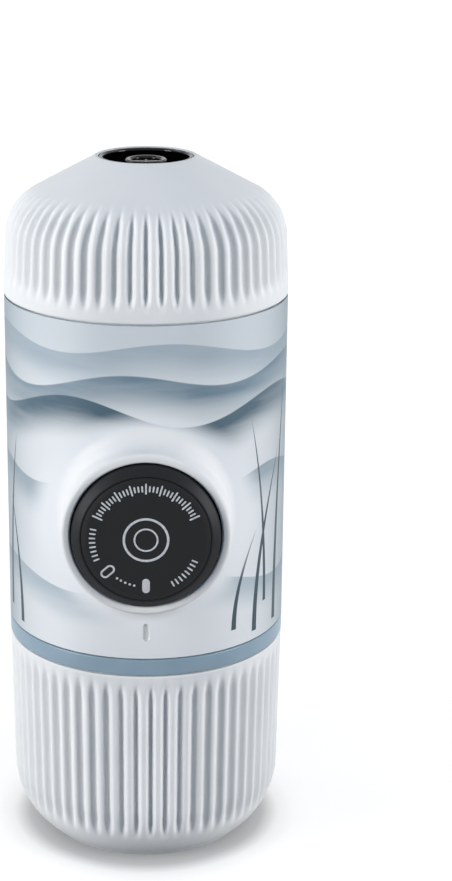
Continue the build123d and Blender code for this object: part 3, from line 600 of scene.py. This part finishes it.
shellSizes = {
    "wall": 2.0, "seamWidth": 0.35, "seamDepth": 1.0, "collarRadius": 17.9, "collarReach": 37.5, "blend": 4.3,
    "lipRound": 0.85, "innerLip": 0.45, "bore": 15.95, "boreDepth": 11.5, "bossBore": 17.5, "bossOuter": 18.6,
    "bossBack": 23.0, "markWidth": 1.6, "markHeight": 4.2, "markRise": 4.3, "markDepth": 0.4,
    # the mesh: distance between points, half the width of the front patch, and the steps along each form
    "spacing": 1.0, "patchHalfWidth": 27.0, "flatSteps": 14, "blendSteps": 12, "lipSteps": 6,
    "innerLipSteps": 4, "innerShares": (0, 0.3, 0.65, 1), "cutterOut": 2.0,
    # where the collar stops being printed
    "whiteFrom": 20.0, "whiteMargin": 3.0, "printSlack": 0.05,
}


def markCutter():
    # a long bar of the mark's outline that stands through the front of the shell
    s = shellSizes
    middle = bandTop + s["markRise"] + s["markHeight"] / 2
    bm = bmesh.new()
    addBar(bm, [
        [bm.verts.new(Vector((x, -y, middle + z)) * mm)
         for x, z in capsule(s["markHeight"], s["markWidth"], 12)]
        for y in (bodyRadius - s["markDepth"], bodyRadius + s["cutterOut"])])
    return meshObject("mark-cutter", bm, whitePlastic)


def makeBodyShell():
    s = shellSizes
    low, high = bandTop + s["seamWidth"], shellTop - s["seamWidth"]
    outside, inside = bodyRadius, bodyRadius - s["wall"]
    halfWidth, blend, collarRadius = s["patchHalfWidth"], s["blend"], s["collarRadius"]
    # even points round the edge of a front patch of the cylinder, unrolled: (way round, height over the pump)
    edge = []
    corners = [(-halfWidth, low - pumpHeight), (halfWidth, low - pumpHeight),
               (halfWidth, high - pumpHeight), (-halfWidth, high - pumpHeight)]
    for a, b in zip(corners, corners[1:] + corners[:1]):
        parts = 2 * round(hypot(b[0] - a[0], b[1] - a[1]) / s["spacing"] / 2)
        edge += [(a[0] + (b[0] - a[0]) * k / parts, a[1] + (b[1] - a[1]) * k / parts) for k in range(parts)]
    bm = bmesh.new()

    def ring(spot, *more):
        return [bm.verts.new(spot(u, rise, *more)) for u, rise in edge]

    def onCylinder(u, rise, radius):
        return Vector((radius * sin(u / outside), -radius * cos(u / outside), pumpHeight + rise)) * mm

    def roundPump(u, rise, radius, reach):
        a = atan2(rise, u)
        return placed(radius * cos(a), radius * sin(a), reach, True)

    def crossing(u, rise, radius, cylinder):
        # where a round about the pump's axis meets a cylinder about the maker's
        a = atan2(rise, u)
        x = radius * cos(a)
        return Vector((x, -sqrt(cylinder ** 2 - x * x), radius * sin(a)))

    def ballCentre(u, rise):
        # the middle of a ball that rolls in the corner between collar and cylinder
        return crossing(u, rise, collarRadius + blend, outside + blend)

    def onBlend(u, rise, turn):
        centre, a = ballCentre(u, rise), atan2(rise, u)
        first = Vector((-centre.x, -centre.y, 0)).normalized()
        p = centre + first.slerp(Vector((-cos(a), 0, -sin(a))), turn) * blend
        return Vector((p.x, p.y, p.z + pumpHeight)) * mm

    def towardsEdge(u, rise, share, start, radius):
        # a share of the way from the start to the patch's edge
        p = start(u, rise)
        way = atan2(p.x, -p.y) * outside
        return onCylinder(way + (u - way) * share, p.z + (rise - p.z) * share, radius)

    # the outer face from the patch's edge in to the collar, over its lip and down its bore
    rings = [ring(towardsEdge, (s["flatSteps"] - k) / s["flatSteps"], ballCentre, outside)
             for k in range(s["flatSteps"])]
    rings += [ring(onBlend, k / s["blendSteps"]) for k in range(s["blendSteps"] + 1)]
    lip, innerLip, reach, bore = s["lipRound"], s["innerLip"], s["collarReach"], s["bore"]
    quarters = [pi / 2 * k / s["lipSteps"] for k in range(1, s["lipSteps"] + 1)]
    collar = [(collarRadius, reach - lip)]
    collar += [(collarRadius - lip + lip * cos(a), reach - lip + lip * sin(a)) for a in quarters]
    quarters = [pi / 2 * k / s["innerLipSteps"] for k in range(s["innerLipSteps"] + 1)]
    collar += [(bore + innerLip - innerLip * sin(a), reach - innerLip + innerLip * cos(a)) for a in quarters]
    collar += [(bore, reach - s["boreDepth"]), (s["bossBore"], reach - s["boreDepth"]),
               (s["bossBore"], s["bossBack"]), (s["bossOuter"], s["bossBack"])]
    rings += [ring(roundPump, *spot) for spot in collar]
    # the inner face, from the boss behind the collar out to the patch's edge
    bossFoot = partial(crossing, radius=s["bossOuter"], cylinder=inside)
    rings += [ring(towardsEdge, share, bossFoot, inside) for share in s["innerShares"]]
    for a, b in zip(rings, rings[1:]):
        bridge(bm, a, b)

    def edgeRow(axis, value):
        # the points on one side of the patch, in order along it
        return sorted((k for k, spot in enumerate(edge) if abs(spot[axis] - value) < 1e-6),
                      key=lambda k: edge[k][1 - axis])

    # the rest of the way round, as strips between the patch's two upright sides
    right, left = edgeRow(0, halfWidth), edgeRow(0, -halfWidth)
    around = 2 * pi * outside - 2 * halfWidth
    parts = round(around / s["spacing"])
    faces = []
    for radius, patch in ((outside, rings[0]), (inside, rings[-1])):
        columns = [[patch[k] for k in right]]
        for j in range(1, parts):
            u = halfWidth + around * j / parts
            columns.append([bm.verts.new(onCylinder(u, edge[k][1], radius)) for k in right])
        columns.append([patch[k] for k in left])
        for a, b in zip(columns, columns[1:]):
            bridge(bm, a, b, closed=False)
        faces.append((patch, columns[1:-1]))
    # the two rims, each with the step that shows as the dark seam
    for end, seam, rim in ((0, low, bandTop), (-1, high, shellTop)):
        row = edgeRow(1, seam - pumpHeight)
        outerRow, innerRow = [[patch[k] for k in row] + [column[end] for column in columns]
                              for patch, columns in faces]
        angles = [atan2(vert.co.x, -vert.co.y) for vert in outerRow]
        rows = [outerRow]
        for radius, z in ((outside - s["seamDepth"], seam), (outside - s["seamDepth"], rim), (inside, rim)):
            rows.append([bm.verts.new(Vector((radius * sin(a), -radius * cos(a), z)) * mm) for a in angles])
        rows.append(innerRow)
        for a, b in zip(rows, rows[1:]):
            bridge(bm, a, b)
    shell = meshObject("body_shell_printed", bm, [printedPlastic, whitePlastic], angle=34)

    # the engraved line under the button
    tool = markCutter()
    cut = shell.modifiers.new("mark", "BOOLEAN")
    cut.operation, cut.solver, cut.object = "DIFFERENCE", "EXACT", tool
    bpy.context.view_layer.update()
    shell = settled(shell, "body_shell_printed", angle=34)
    bpy.data.objects.remove(tool)
    # the collar in front stays plain white
    whiteReach = collarRadius + blend + s["whiteMargin"]
    for face in shell.data.polygons:
        c = face.center / mm
        onPrint = abs(hypot(c.x, c.y) - outside) < s["printSlack"]
        onCollar = c.y < -s["whiteFrom"] and hypot(c.x, c.z - pumpHeight) < whiteReach
        face.material_index = 1 if onCollar and not onPrint else 0
    trueNormals(shell, outside, collarRadius)
    rides(shell, "main_body", "body_shell", slot="printed_shell")


makeBodyShell()
print("body shell made")


# ---- threads: a few starts of a low round ridge wound round a plain neck, each start one curve

def threadTree():
    tree, given, calc = shapeTree("thread", ("Radius", "Low", "Rise", "Turns", "Ridge"), ("Starts",))
    spiral = addNode(tree, "GeometryNodeCurveSpiral", inputs={
        "Resolution": 96, "Rotations": given["Turns"], "Start Radius": given["Radius"],
        "End Radius": given["Radius"], "Height": given["Rise"]})
    section = addNode(tree, "GeometryNodeCurvePrimitiveCircle", inputs={
        "Resolution": 8, "Radius": given["Ridge"]})
    # the ridge runs out into the neck at both ends, over a small share of its length
    share = addNode(tree, "GeometryNodeSplineParameter").outputs["Factor"]
    fadeStart, fadeEnd, leastSize = -0.02, 0.08, 0.15
    size = eased(tree, calc("PINGPONG", share, 0.5), fadeStart, fadeEnd, least=leastSize)
    ridge = addNode(tree, "GeometryNodeCurveToMesh", inputs={
        "Curve": spiral.outputs[0], "Profile Curve": section.outputs[0], "Scale": size, "Fill Caps": True})
    polished = addNode(tree, "GeometryNodeSetShadeSmooth", inputs={"Geometry": ridge.outputs[0]})
    lift = addNode(tree, "ShaderNodeCombineXYZ", inputs={"Z": given["Low"]})
    lifted = addNode(tree, "GeometryNodeTransform", inputs={
        "Geometry": polished.outputs[0], "Translation": lift.outputs[0]})
    points = addNode(tree, "GeometryNodePoints", inputs={"Count": given["Starts"]})
    number = addNode(tree, "GeometryNodeInputIndex").outputs[0]
    spin = addNode(tree, "ShaderNodeCombineXYZ", inputs={
        "Z": calc("MULTIPLY", number, calc("DIVIDE", 2 * pi, given["Starts"]))})
    copies = addNode(tree, "GeometryNodeInstanceOnPoints", inputs={
        "Points": points.outputs[0], "Instance": lifted.outputs[0], "Rotation": spin.outputs[0]})
    return finishTree(tree, given, copies.outputs[0])


threads = threadTree()

# one turn lifts 12 mm, so four starts stand 3 mm apart
threadSizes = {"lead": 12.0, "starts": 4, "ridge": 0.3, "sink": 0.02, "fromTop": 1.2, "turns": 0.42}


def makeThread(name, body, slot, radius, top, material):
    # a thread round a neck, ending a little under the neck's top
    s = threadSizes
    rise = s["lead"] * s["turns"]
    piece = grown(threads, name, {
        "Radius": (radius - s["sink"]) * mm, "Low": (top - s["fromTop"] - rise) * mm, "Rise": rise * mm,
        "Turns": s["turns"], "Ridge": s["ridge"] * mm, "Starts": s["starts"], "Material": material})
    rides(piece, body, slot=slot)


# ---- water tank

tankSizes = {
    "vesselRadius": 27.2, "wall": 2.0, "base": 12.0, "cornerRound": 7.0, "innerCorner": 4.0, "neckRadius": 27.4,
    "innerDrop": 1.0, "neckTop": 60.7, "edgeRound": 0.3, "softRound": 0.4, "neckRound": 0.5, "gripCount": 8,
    "gripWidth": 2.4, "gripLow": 37.0, "gripRadius": 28.6, "gripBevel": (0.9, 1.2), "gripSink": 0.5,
    "gripTaper": 0.8,
}


def makeTank():
    s = tankSizes
    edge, vessel, neck, wall = s["edgeRound"], s["vesselRadius"], s["neckRadius"], s["wall"]
    outer = [
        (0.0, s["base"]), (vessel, s["base"], s["cornerRound"]), (vessel, cupTop), (bodyRadius, cupTop, edge),
        (bodyRadius, bandTop, edge), (neck, bandTop, s["softRound"]), (neck, s["neckTop"], s["neckRound"])]
    inner = [
        (neck - wall, s["neckTop"], s["softRound"]), (neck - wall, cupTop),
        (vessel - wall, cupTop - s["innerDrop"]), (vessel - wall, s["base"] + wall, s["innerCorner"]),
        (0.0, s["base"] + wall)]
    bm = turnedMesh(rounded(outer + inner), segments=192)
    # the ribs that grip the inside of the cup
    for k in range(s["gripCount"]):
        a = 2 * pi * k / s["gripCount"]
        across = Vector((-sin(a), cos(a), 0)) * s["gripWidth"] / 2
        out = Vector((cos(a), sin(a), 0))
        root, crest = vessel - s["gripSink"], s["gripRadius"]
        setBack, rise = s["gripBevel"]
        addBar(bm, [
            [bm.verts.new((out * r + side * across + Vector((0, 0, z))) * mm)
             for r, side in ((root, -1), (reach, -s["gripTaper"]), (reach, s["gripTaper"]), (root, 1))]
            for z, reach in ((s["gripLow"], crest - setBack), (s["gripLow"] + rise, crest), (cupTop, crest))])
    rides(meshObject("water_tank_moulded", bm, bandPlastic), "tank", "water_tank", slot="blue_grey_tank")
    makeThread("tank_thread", "tank", "blue_grey_tank", neck, s["neckTop"], bandPlastic)


makeTank()
print("water tank made")


# ---- button with its bevel, and the label with generic marks

buttonSizes = {
    "edgeReach": 38.2, "edgeRound": 0.5, "faceReach": 39.6, "faceRound": 0.35, "bevel": 1.7, "skirtEnd": 19.5,
    "wall": 1.6, "faceThick": 2.6, "recessRound": 0.12, "labelRadius": 13.5, "labelRoom": 0.1,
    "labelBack": 39.1, "labelEdge": 0.05, "labelEdgeRound": 0.1, "labelCrown": 1.0, "labelCrownRound": 0.6,
}


def makeButton():
    s = buttonSizes
    bore, floor = buttonRadius - s["wall"], s["faceReach"] - s["faceThick"]
    recess = s["labelRadius"] + s["labelRoom"]
    profile = [
        (0.0, floor), (bore, floor), (bore, s["skirtEnd"]), (buttonRadius, s["skirtEnd"]),
        (buttonRadius, s["edgeReach"], s["edgeRound"]),
        (buttonRadius - s["bevel"], s["faceReach"], s["faceRound"]),
        (recess, s["faceReach"], s["recessRound"]), (recess, s["labelBack"]), (0.0, s["labelBack"])]
    bm = turnedMesh(rounded(profile), segments=160, onPump=True)
    rides(meshObject("button_cap", bm, buttonPlastic, angle=25), "piston", "button", slot="black_plastic")
    face = [
        (0.0, s["labelBack"]), (s["labelRadius"], s["labelBack"]),
        (s["labelRadius"], s["faceReach"] + s["labelEdge"], s["labelEdgeRound"]),
        (s["labelRadius"] - s["labelCrown"], labelFront, s["labelCrownRound"]), (0.0, labelFront)]
    bm = turnedMesh(rounded(face), segments=160, onPump=True)
    piece = meshObject("button_label_film", bm, labelPlastic, angle=40)
    rides(piece, "piston", "button_label", slot="button_face")


markSizes = {
    # distances are from the label's middle; degrees run from straight down, clockwise being negative
    "lift": 0.02,
    "locked": (0, 10.2, (3.2, 1.6)), "unlocked": (-48.9, 10.6, (3.4, 2.0), (2.6, 1.2)),
    "dots": (-35.5, -30.2, -24.6, -19.1, -13.7), "dotsOut": 10.4, "dotRadius": 0.26,
    # ticks from, to, step in degrees
    "longScale": (116, 245, 4), "shortScales": [(-102, -66, 5), (30, 68, 5)],
    "ticksOut": 11.2, "tickLength": 1.4, "fourthTick": 2.4, "tickWidth": 0.36,
    "rings": [(4.6, 0.5), (2.4, 0.36)],  # radius, width
}


def makeMarks():
    s = markSizes
    bm = bmesh.new()

    def addMark(outline, degrees=0.0, out=0.0):
        # a flat printed shape, drawn upright, then moved out and turned, with its face to the front
        a = radians(degrees) - pi / 2
        way, side = Vector((cos(a), sin(a))), Vector((-sin(a), cos(a)))
        spots = [way * (out + y) + side * x for x, y in reversed(outline)]
        bm.faces.new([
            bm.verts.new(Vector((p.x, -labelFront - s["lift"], pumpHeight + p.y)) * mm) for p in spots])

    # locked: a solid bar at the foot; unlocked: an open ring; five dots lead from one to the other
    degrees, out, bar = s["locked"]
    addMark(capsule(*bar), degrees, out)
    degrees, out, *sizes = s["unlocked"]
    outer, inner = [capsule(*size) for size in sizes]
    for k in range(len(outer)):
        n = (k + 1) % len(outer)
        addMark([outer[k], outer[n], inner[n], inner[k]], degrees, out)
    dot = [(s["dotRadius"] * cos(pi * k / 8), s["dotRadius"] * sin(pi * k / 8)) for k in range(16)]
    for degrees in s["dots"]:
        addMark(dot, degrees, s["dotsOut"])
    # plain tick scales stand round the rest of the label
    ticks = [(degrees, s["tickLength"] if i % 4 else s["fourthTick"])
             for i, degrees in enumerate(range(*s["longScale"]))]
    ticks += [(degrees, s["tickLength"]) for scale in s["shortScales"] for degrees in range(*scale)]
    for degrees, length in ticks:
        addMark(capsule(length, s["tickWidth"], 4), degrees, s["ticksOut"])
    # a plain double ring at the middle
    for radius, width in s["rings"]:
        inside, outside = radius - width / 2, radius + width / 2
        for k in range(64):
            a, b = 2 * pi * k / 64, 2 * pi * (k + 1) / 64
            addMark([
                (r * cos(t), r * sin(t)) for r, t in ((inside, a), (outside, a), (outside, b), (inside, b))])
    rides(meshObject("label_marks", bm, ink, flat=True), "piston", slot="white_shell")


makeButton()
makeMarks()
print("button and label made")


# ---- outlet: the black spout in the head's mouth, and the core behind it

spoutSizes = {
    "foot": 144.2, "footRadius": 7.2, "bore": 3.2, "ringRadius": 10.28, "ringWall": 1.0, "ringTop": 155.8,
    "trough": 151.5, "troughRound": 0.8, "tubeRadius": 4.6, "tubeTop": 155.2, "tubeRound": 0.6,
    "underside": 150.4, "round": 0.5,
    "web": 0.5, "webReach": 3.3, "webLow": 151.0, "webTop": 154.7,
}


def makeSpout():
    s = spoutSizes
    edge, ringBore = s["round"], s["ringRadius"] - s["ringWall"]
    profile = [
        (s["bore"], s["foot"]), (s["footRadius"], s["foot"]), (s["footRadius"], s["underside"], edge),
        (s["ringRadius"], s["underside"], edge), (s["ringRadius"], s["ringTop"], edge),
        (ringBore, s["ringTop"], edge), (ringBore, s["trough"], s["troughRound"]),
        (s["tubeRadius"], s["trough"], s["troughRound"]), (s["tubeRadius"], s["tubeTop"], s["tubeRound"]),
        (s["bore"], s["tubeTop"], s["tubeRound"])]
    bm = turnedMesh(rounded(profile, closed=True), segments=120)
    # thin webs across the tube split the stream
    for turn in (0, pi / 2):
        along, across = Vector((cos(turn), sin(turn), 0)), Vector((-sin(turn), cos(turn), 0))
        x, y = s["webReach"], s["web"] / 2
        addBar(bm, [
            [bm.verts.new((along * u + across * v + Vector((0, 0, z))) * mm)
             for u, v in ((-x, -y), (x, -y), (x, y), (-x, y))] for z in (s["webLow"], s["webTop"])])
    piece = meshObject("spout_polished", bm, glossBlack, angle=40)
    rides(piece, "outlet_head", "spout", slot="black_plastic")


makeSpout()
print("spout made")


# ---- perforated steel: the two round screens, and the coffee basket with its perforated floor

def perforationTree():
    tree, given, calc = shapeTree("perforations", ("Radius", "Reach", "Hole", "Pitch", "Thickness", "Low"))

    def circle(resolution, radius):
        return addNode(tree, "GeometryNodeCurvePrimitiveCircle", inputs={
            "Resolution": resolution, "Radius": radius}).outputs[0]

    def joined(*parts):
        node = addNode(tree, "GeometryNodeJoinGeometry")
        for part in parts:
            tree.links.new(part, node.inputs[0])
        return node.outputs[0]

    rowStep = calc("MULTIPLY", given["Pitch"], sqrt(3) / 2)
    steps = calc("MULTIPLY", calc("CEIL", calc("DIVIDE", given["Reach"], rowStep)), 2.0)
    count = calc("ADD", steps, 1.0)
    grid = addNode(tree, "GeometryNodeMeshGrid", inputs={
        "Size X": calc("MULTIPLY", steps, given["Pitch"]), "Size Y": calc("MULTIPLY", steps, rowStep),
        "Vertices X": count, "Vertices Y": count})
    # every second row stands half a step aside
    place = addNode(tree, "GeometryNodeInputPosition").outputs[0]
    across = addNode(tree, "ShaderNodeSeparateXYZ", inputs={"Vector": place}).outputs["Y"]
    oddRow = calc("PINGPONG", calc("ROUND", calc("DIVIDE", across, rowStep)), 1.0)
    aside = addNode(tree, "ShaderNodeCombineXYZ", inputs={
        "X": calc("MULTIPLY", oddRow, calc("MULTIPLY", given["Pitch"], 0.5))})
    spots = addNode(tree, "GeometryNodeSetPosition", inputs={
        "Geometry": grid.outputs["Mesh"], "Offset": aside.outputs[0]})
    away = addNode(tree, "ShaderNodeVectorMath", {"operation": "LENGTH"}, {0: place}).outputs["Value"]
    near = addNode(tree, "FunctionNodeCompare", {"operation": "LESS_THAN"}, {0: away, 1: given["Reach"]})
    holes = addNode(tree, "GeometryNodeInstanceOnPoints", inputs={
        "Points": spots.outputs[0], "Selection": near.outputs[0], "Instance": circle(12, given["Hole"])})
    loose = addNode(tree, "GeometryNodeRealizeInstances", inputs={"Geometry": holes.outputs[0]})
    outlines = joined(circle(96, given["Radius"]), loose.outputs[0])
    flat = addNode(tree, "GeometryNodeFillCurve", inputs={"Curve": outlines})
    lift = addNode(tree, "ShaderNodeCombineXYZ", inputs={"Z": given["Low"]})
    lower = addNode(tree, "GeometryNodeTransform", inputs={
        "Geometry": flat.outputs[0], "Translation": lift.outputs[0]}).outputs[0]
    raised = addNode(tree, "GeometryNodeExtrudeMesh", inputs={
        "Mesh": lower, "Offset": (0, 0, 1), "Offset Scale": given["Thickness"], "Individual": False})
    return finishTree(tree, given, joined(lower, raised.outputs[0]))


perforations = perforationTree()

screenSizes = {
    # node: (body, radius, low)
    "shower_screen": ("main_body", 20.9, 113.4),
    "outlet_screen": ("outlet_head", 20.6, 139.0),
}
perforationSizes = {"thickness": 0.6, "rim": 1.6, "hole": 0.35, "pitch": 1.6}
basketSizes = {
    "radius": 20.7, "low": 120.0, "wall": 0.7, "corner": 2.0, "flangeRadius": 23.6, "flangeLow": 137.0,
    "flangeTop": 137.8, "edgeRound": 0.25, "floorRadius": 18.65, "floorLap": 0.05,
}


def perforatedSheet(radius, low, thickness, rim):
    s = perforationSizes
    sheet = grown(perforations, "sheet", {
        "Radius": radius * mm, "Reach": (radius - rim) * mm, "Hole": s["hole"] * mm, "Pitch": s["pitch"] * mm,
        "Thickness": thickness * mm, "Low": low * mm, "Material": steel})
    bm = bmesh.new()
    bm.from_mesh(sheet.data)
    bpy.data.objects.remove(sheet)
    return bm


def makePerforated():
    s, b = perforationSizes, basketSizes
    for node, (body, radius, low) in screenSizes.items():
        piece = meshObject(node + "_steel", perforatedSheet(radius, low, s["thickness"], s["rim"]), steel)
        rides(piece, body, node, slot="steel")
    bore, floorTop, reach = b["radius"] - b["wall"], b["low"] + b["wall"], b["floorRadius"] - b["floorLap"]
    edge = b["edgeRound"]
    wall = rounded([
        (reach, b["low"]), (b["radius"], b["low"], b["corner"]), (b["radius"], b["flangeLow"]),
        (b["flangeRadius"], b["flangeLow"], edge), (b["flangeRadius"], b["flangeTop"], edge),
        (bore, b["flangeTop"], edge), (bore, floorTop, b["corner"] - b["wall"]),
        (reach, floorTop)], closed=True)
    sheet = perforatedSheet(b["floorRadius"], b["low"], b["wall"], s["rim"] / 2)
    piece = meshObject("filter_basket_steel", turnedMesh(wall, segments=96, bm=sheet), steel)
    rides(piece, "basket", "filter_basket", slot="steel")


makePerforated()
print("perforated steel made")


# ---- the plainer pieces: the frame's own shapes, smoothed, in their real materials

kinds = {
    # kind: (material, slot, ending of the new name)
    "silicone": (silicone, "silicone", "_silicone"),
    "steel": (steel, "steel", "_steel"),
    "inner": (innerPlastic, "inner_plastic", "_moulded"),
    "black": (blackPlastic, "black_plastic", "_moulded"),
    "white": (whitePlastic, "white_shell", "_moulded"),
}
plainPieces = {
    # node: (body, kind)
    "tank_gasket": ("tank_seal", "silicone"), "chassis": ("main_body", "inner"),
    "pump_cylinder": ("main_body", "inner"), "rod_guide": ("main_body", "white"),
    "button_guide": ("main_body", "black"), "guide_screws": ("main_body", "steel"),
    "valve_block": ("main_body", "inner"), "valve_screws": ("main_body", "steel"),
    "inlet_seat": ("main_body", "white"), "outlet_plug": ("main_body", "white"),
    "inlet_strainer": ("main_body", "inner"), "vent_valve": ("main_body", "silicone"),
    "brew_chamber": ("main_body", "black"), "rim_seal": ("main_body", "silicone"),
    "chassis_screws": ("main_body", "steel"), "inlet_ball": ("inlet_ball", "steel"),
    "outlet_ball": ("outlet_ball", "steel"), "lock_ring": ("lock_ring", "black"),
    "button_screw": ("piston", "steel"), "piston": ("piston", "inner"), "piston_seal": ("piston", "silicone"),
    "head_gasket": ("head_seal", "silicone"), "head_core": ("outlet_head", "black"),
    "head_screws": ("outlet_head", "steel"),
}
for node, (body, kind) in plainPieces.items():
    material, slot, ending = kinds[kind]
    bm = bmesh.new()
    bm.from_mesh(nodes[node].data)
    rides(meshObject(node + ending, bm, material, angle=32), body, node, slot=slot)
# the three springs follow their joints, so the frame's own meshes stay and only take their metal
for node in ("inlet_spring", "outlet_spring", "return_spring"):
    nodes[node].data.materials.clear()
    nodes[node].data.materials.append(steel)
neckSizes = {"radius": 23.6, "top": 137.0}
makeThread("neck_thread", "main_body", "black_plastic", neckSizes["radius"], neckSizes["top"], blackPlastic)
print("inner pieces made")


# ---- stage: a white sweep, soft light from both sides, and the camera

studio = {
    "floorSize": 3.0, "sweepBack": 1.1, "sweepRadius": 0.5, "sweepTop": 2.5, "paper": "#88898B",
    "paperReach": 1.0,
    # how much the paper is lifted to white, by distance from the object as a share of paperReach; the lift
    # stays low close to the object, which paints a dark contact shadow round its foot
    "paperLiftAndPaintedShadow": [(0.024, 0.2), (0.0273, 0.33), (0.0306, 0.70), (0.036, 0.84), (0.075, 0.88), (0.3, 0.95),
                  (0.8, 1.0)],
    "fillStrength": 0.21, "fillColour": "#62A4D8",
    "lights": [
        # name, place in metres, aim height, size, watts
        ("left", (-0.75, -0.40, 0.26), 0.09, (0.28, 0.46), 6.2),
        ("right", (0.79, -0.31, 0.26), 0.09, (0.28, 0.46), 5.6),
        ("over", (0.0, 0.0, 0.95), 0.12, (0.6, 0.5), 0.7),
        ("high-left", (-0.6, 0.3, 0.75), 0.13, (0.3, 0.3), 1.3),
        ("high-right", (0.6, 0.3, 0.75), 0.13, (0.3, 0.3), 0.8),
    ],
}


def seenRays(tree):
    # 1 for what the camera sees, directly or in gloss or glass
    rays, calc = addNode(tree, "ShaderNodeLightPath").outputs, arithmetic(tree)
    seen = calc("MAXIMUM", rays["Is Camera Ray"], rays["Is Transmission Ray"])
    return calc("MAXIMUM", seen, rays["Is Glossy Ray"])


def stagePaper():
    # matt white paper that keeps the object's shadow and reads as white to the camera, except close to the
    # object, where it is kept darker as a painted contact shadow
    material = bpy.data.materials.new("paper-white-painted-shadow")
    tree = emptyTree(material)
    matt = addNode(tree, "ShaderNodeBsdfDiffuse", inputs={"Color": linear(studio["paper"])})
    away = addNode(tree, "ShaderNodeVectorMath", {"operation": "LENGTH"}, {0: objectSpot(tree)})
    share = arithmetic(tree)("DIVIDE", away.outputs["Value"], studio["paperReach"], clamp=True)
    # the ramp keeps the paper dark close to the object: a painted contact shadow
    ramp = addNode(tree, "ShaderNodeValToRGB", inputs={"Fac": share})
    stops = ramp.color_ramp.elements
    for k, (where, amount) in enumerate(studio["paperLiftAndPaintedShadow"]):
        stop = stops[k] if k < 2 else stops.new(where)
        stop.position, stop.color = where, (amount, amount, amount, 1.0)
    lift = addNode(tree, "ShaderNodeEmission", inputs={
        "Color": ramp.outputs["Color"], "Strength": seenRays(tree)})
    both = addNode(tree, "ShaderNodeAddShader", inputs={0: matt.outputs[0], 1: lift.outputs[0]})
    addNode(tree, "ShaderNodeOutputMaterial", inputs={"Surface": both.outputs[0]})
    return material


def makeStage():
    s = studio
    size, back, bend = s["floorSize"], s["sweepBack"], s["sweepRadius"]
    turns = [pi / 2 * k / 16 for k in range(17)]
    line = [(-size, 0.0)] + [(back + bend * sin(a), bend - bend * cos(a)) for a in turns]
    line.append((back + bend, s["sweepTop"]))
    bm = bmesh.new()
    bridge(bm, *[[bm.verts.new((x, y, z)) for y, z in line] for x in (-size, size)], closed=False)
    sweep = meshObject("stage_sweep", bm, stagePaper(), angle=60)
    world = bpy.context.scene.world = bpy.data.worlds.new("studio")
    tree = emptyTree(world)
    fill = addNode(tree, "ShaderNodeBackground", inputs={
        "Color": linear(s["fillColour"]), "Strength": s["fillStrength"]})
    white = addNode(tree, "ShaderNodeBackground", inputs={"Color": linear("#FFFFFF"), "Strength": 1.0})
    both = addNode(tree, "ShaderNodeMixShader", inputs={
        0: seenRays(tree), 1: fill.outputs[0], 2: white.outputs[0]})
    addNode(tree, "ShaderNodeOutputWorld", inputs={"Surface": both.outputs[0]})
    for name, spot, aim, (width, height), watts in s["lights"]:
        lamp = bpy.data.lights.new("light-" + name, "AREA")
        lamp.shape, lamp.size, lamp.size_y, lamp.energy = "RECTANGLE", width, height, watts
        holder = newObject("light-" + name, lamp)
        holder.location = spot
        holder.rotation_euler = (Vector((0, 0, aim)) - Vector(spot)).to_track_quat("-Z", "Y").to_euler()


cameraSizes = {
    # places in metres, tilt down in radians, lens and sensor in millimetres, shift as shares of the height
    "place": (0, -0.4479, 0.2360), "nearest": 0.01, "tilt": 0.316, "lens": 85.84, "sensor": 36.0,
    "shift": (0.0908, 0.0095),
}


def makeCamera():
    s = cameraSizes
    lens = bpy.data.cameras.new("camera")
    lens.sensor_fit = "VERTICAL"
    lens.sensor_height, lens.lens = s["sensor"], s["lens"]
    lens.shift_x, lens.shift_y = s["shift"]
    lens.clip_start = s["nearest"]
    holder = newObject("camera", lens)
    holder.location = s["place"]
    holder.rotation_euler = (pi / 2 - s["tilt"], 0, 0)
    bpy.context.scene.camera = holder


makeStage()
makeCamera()
bpy.context.scene.view_settings.view_transform = "Standard"
print("stage, light and camera made")
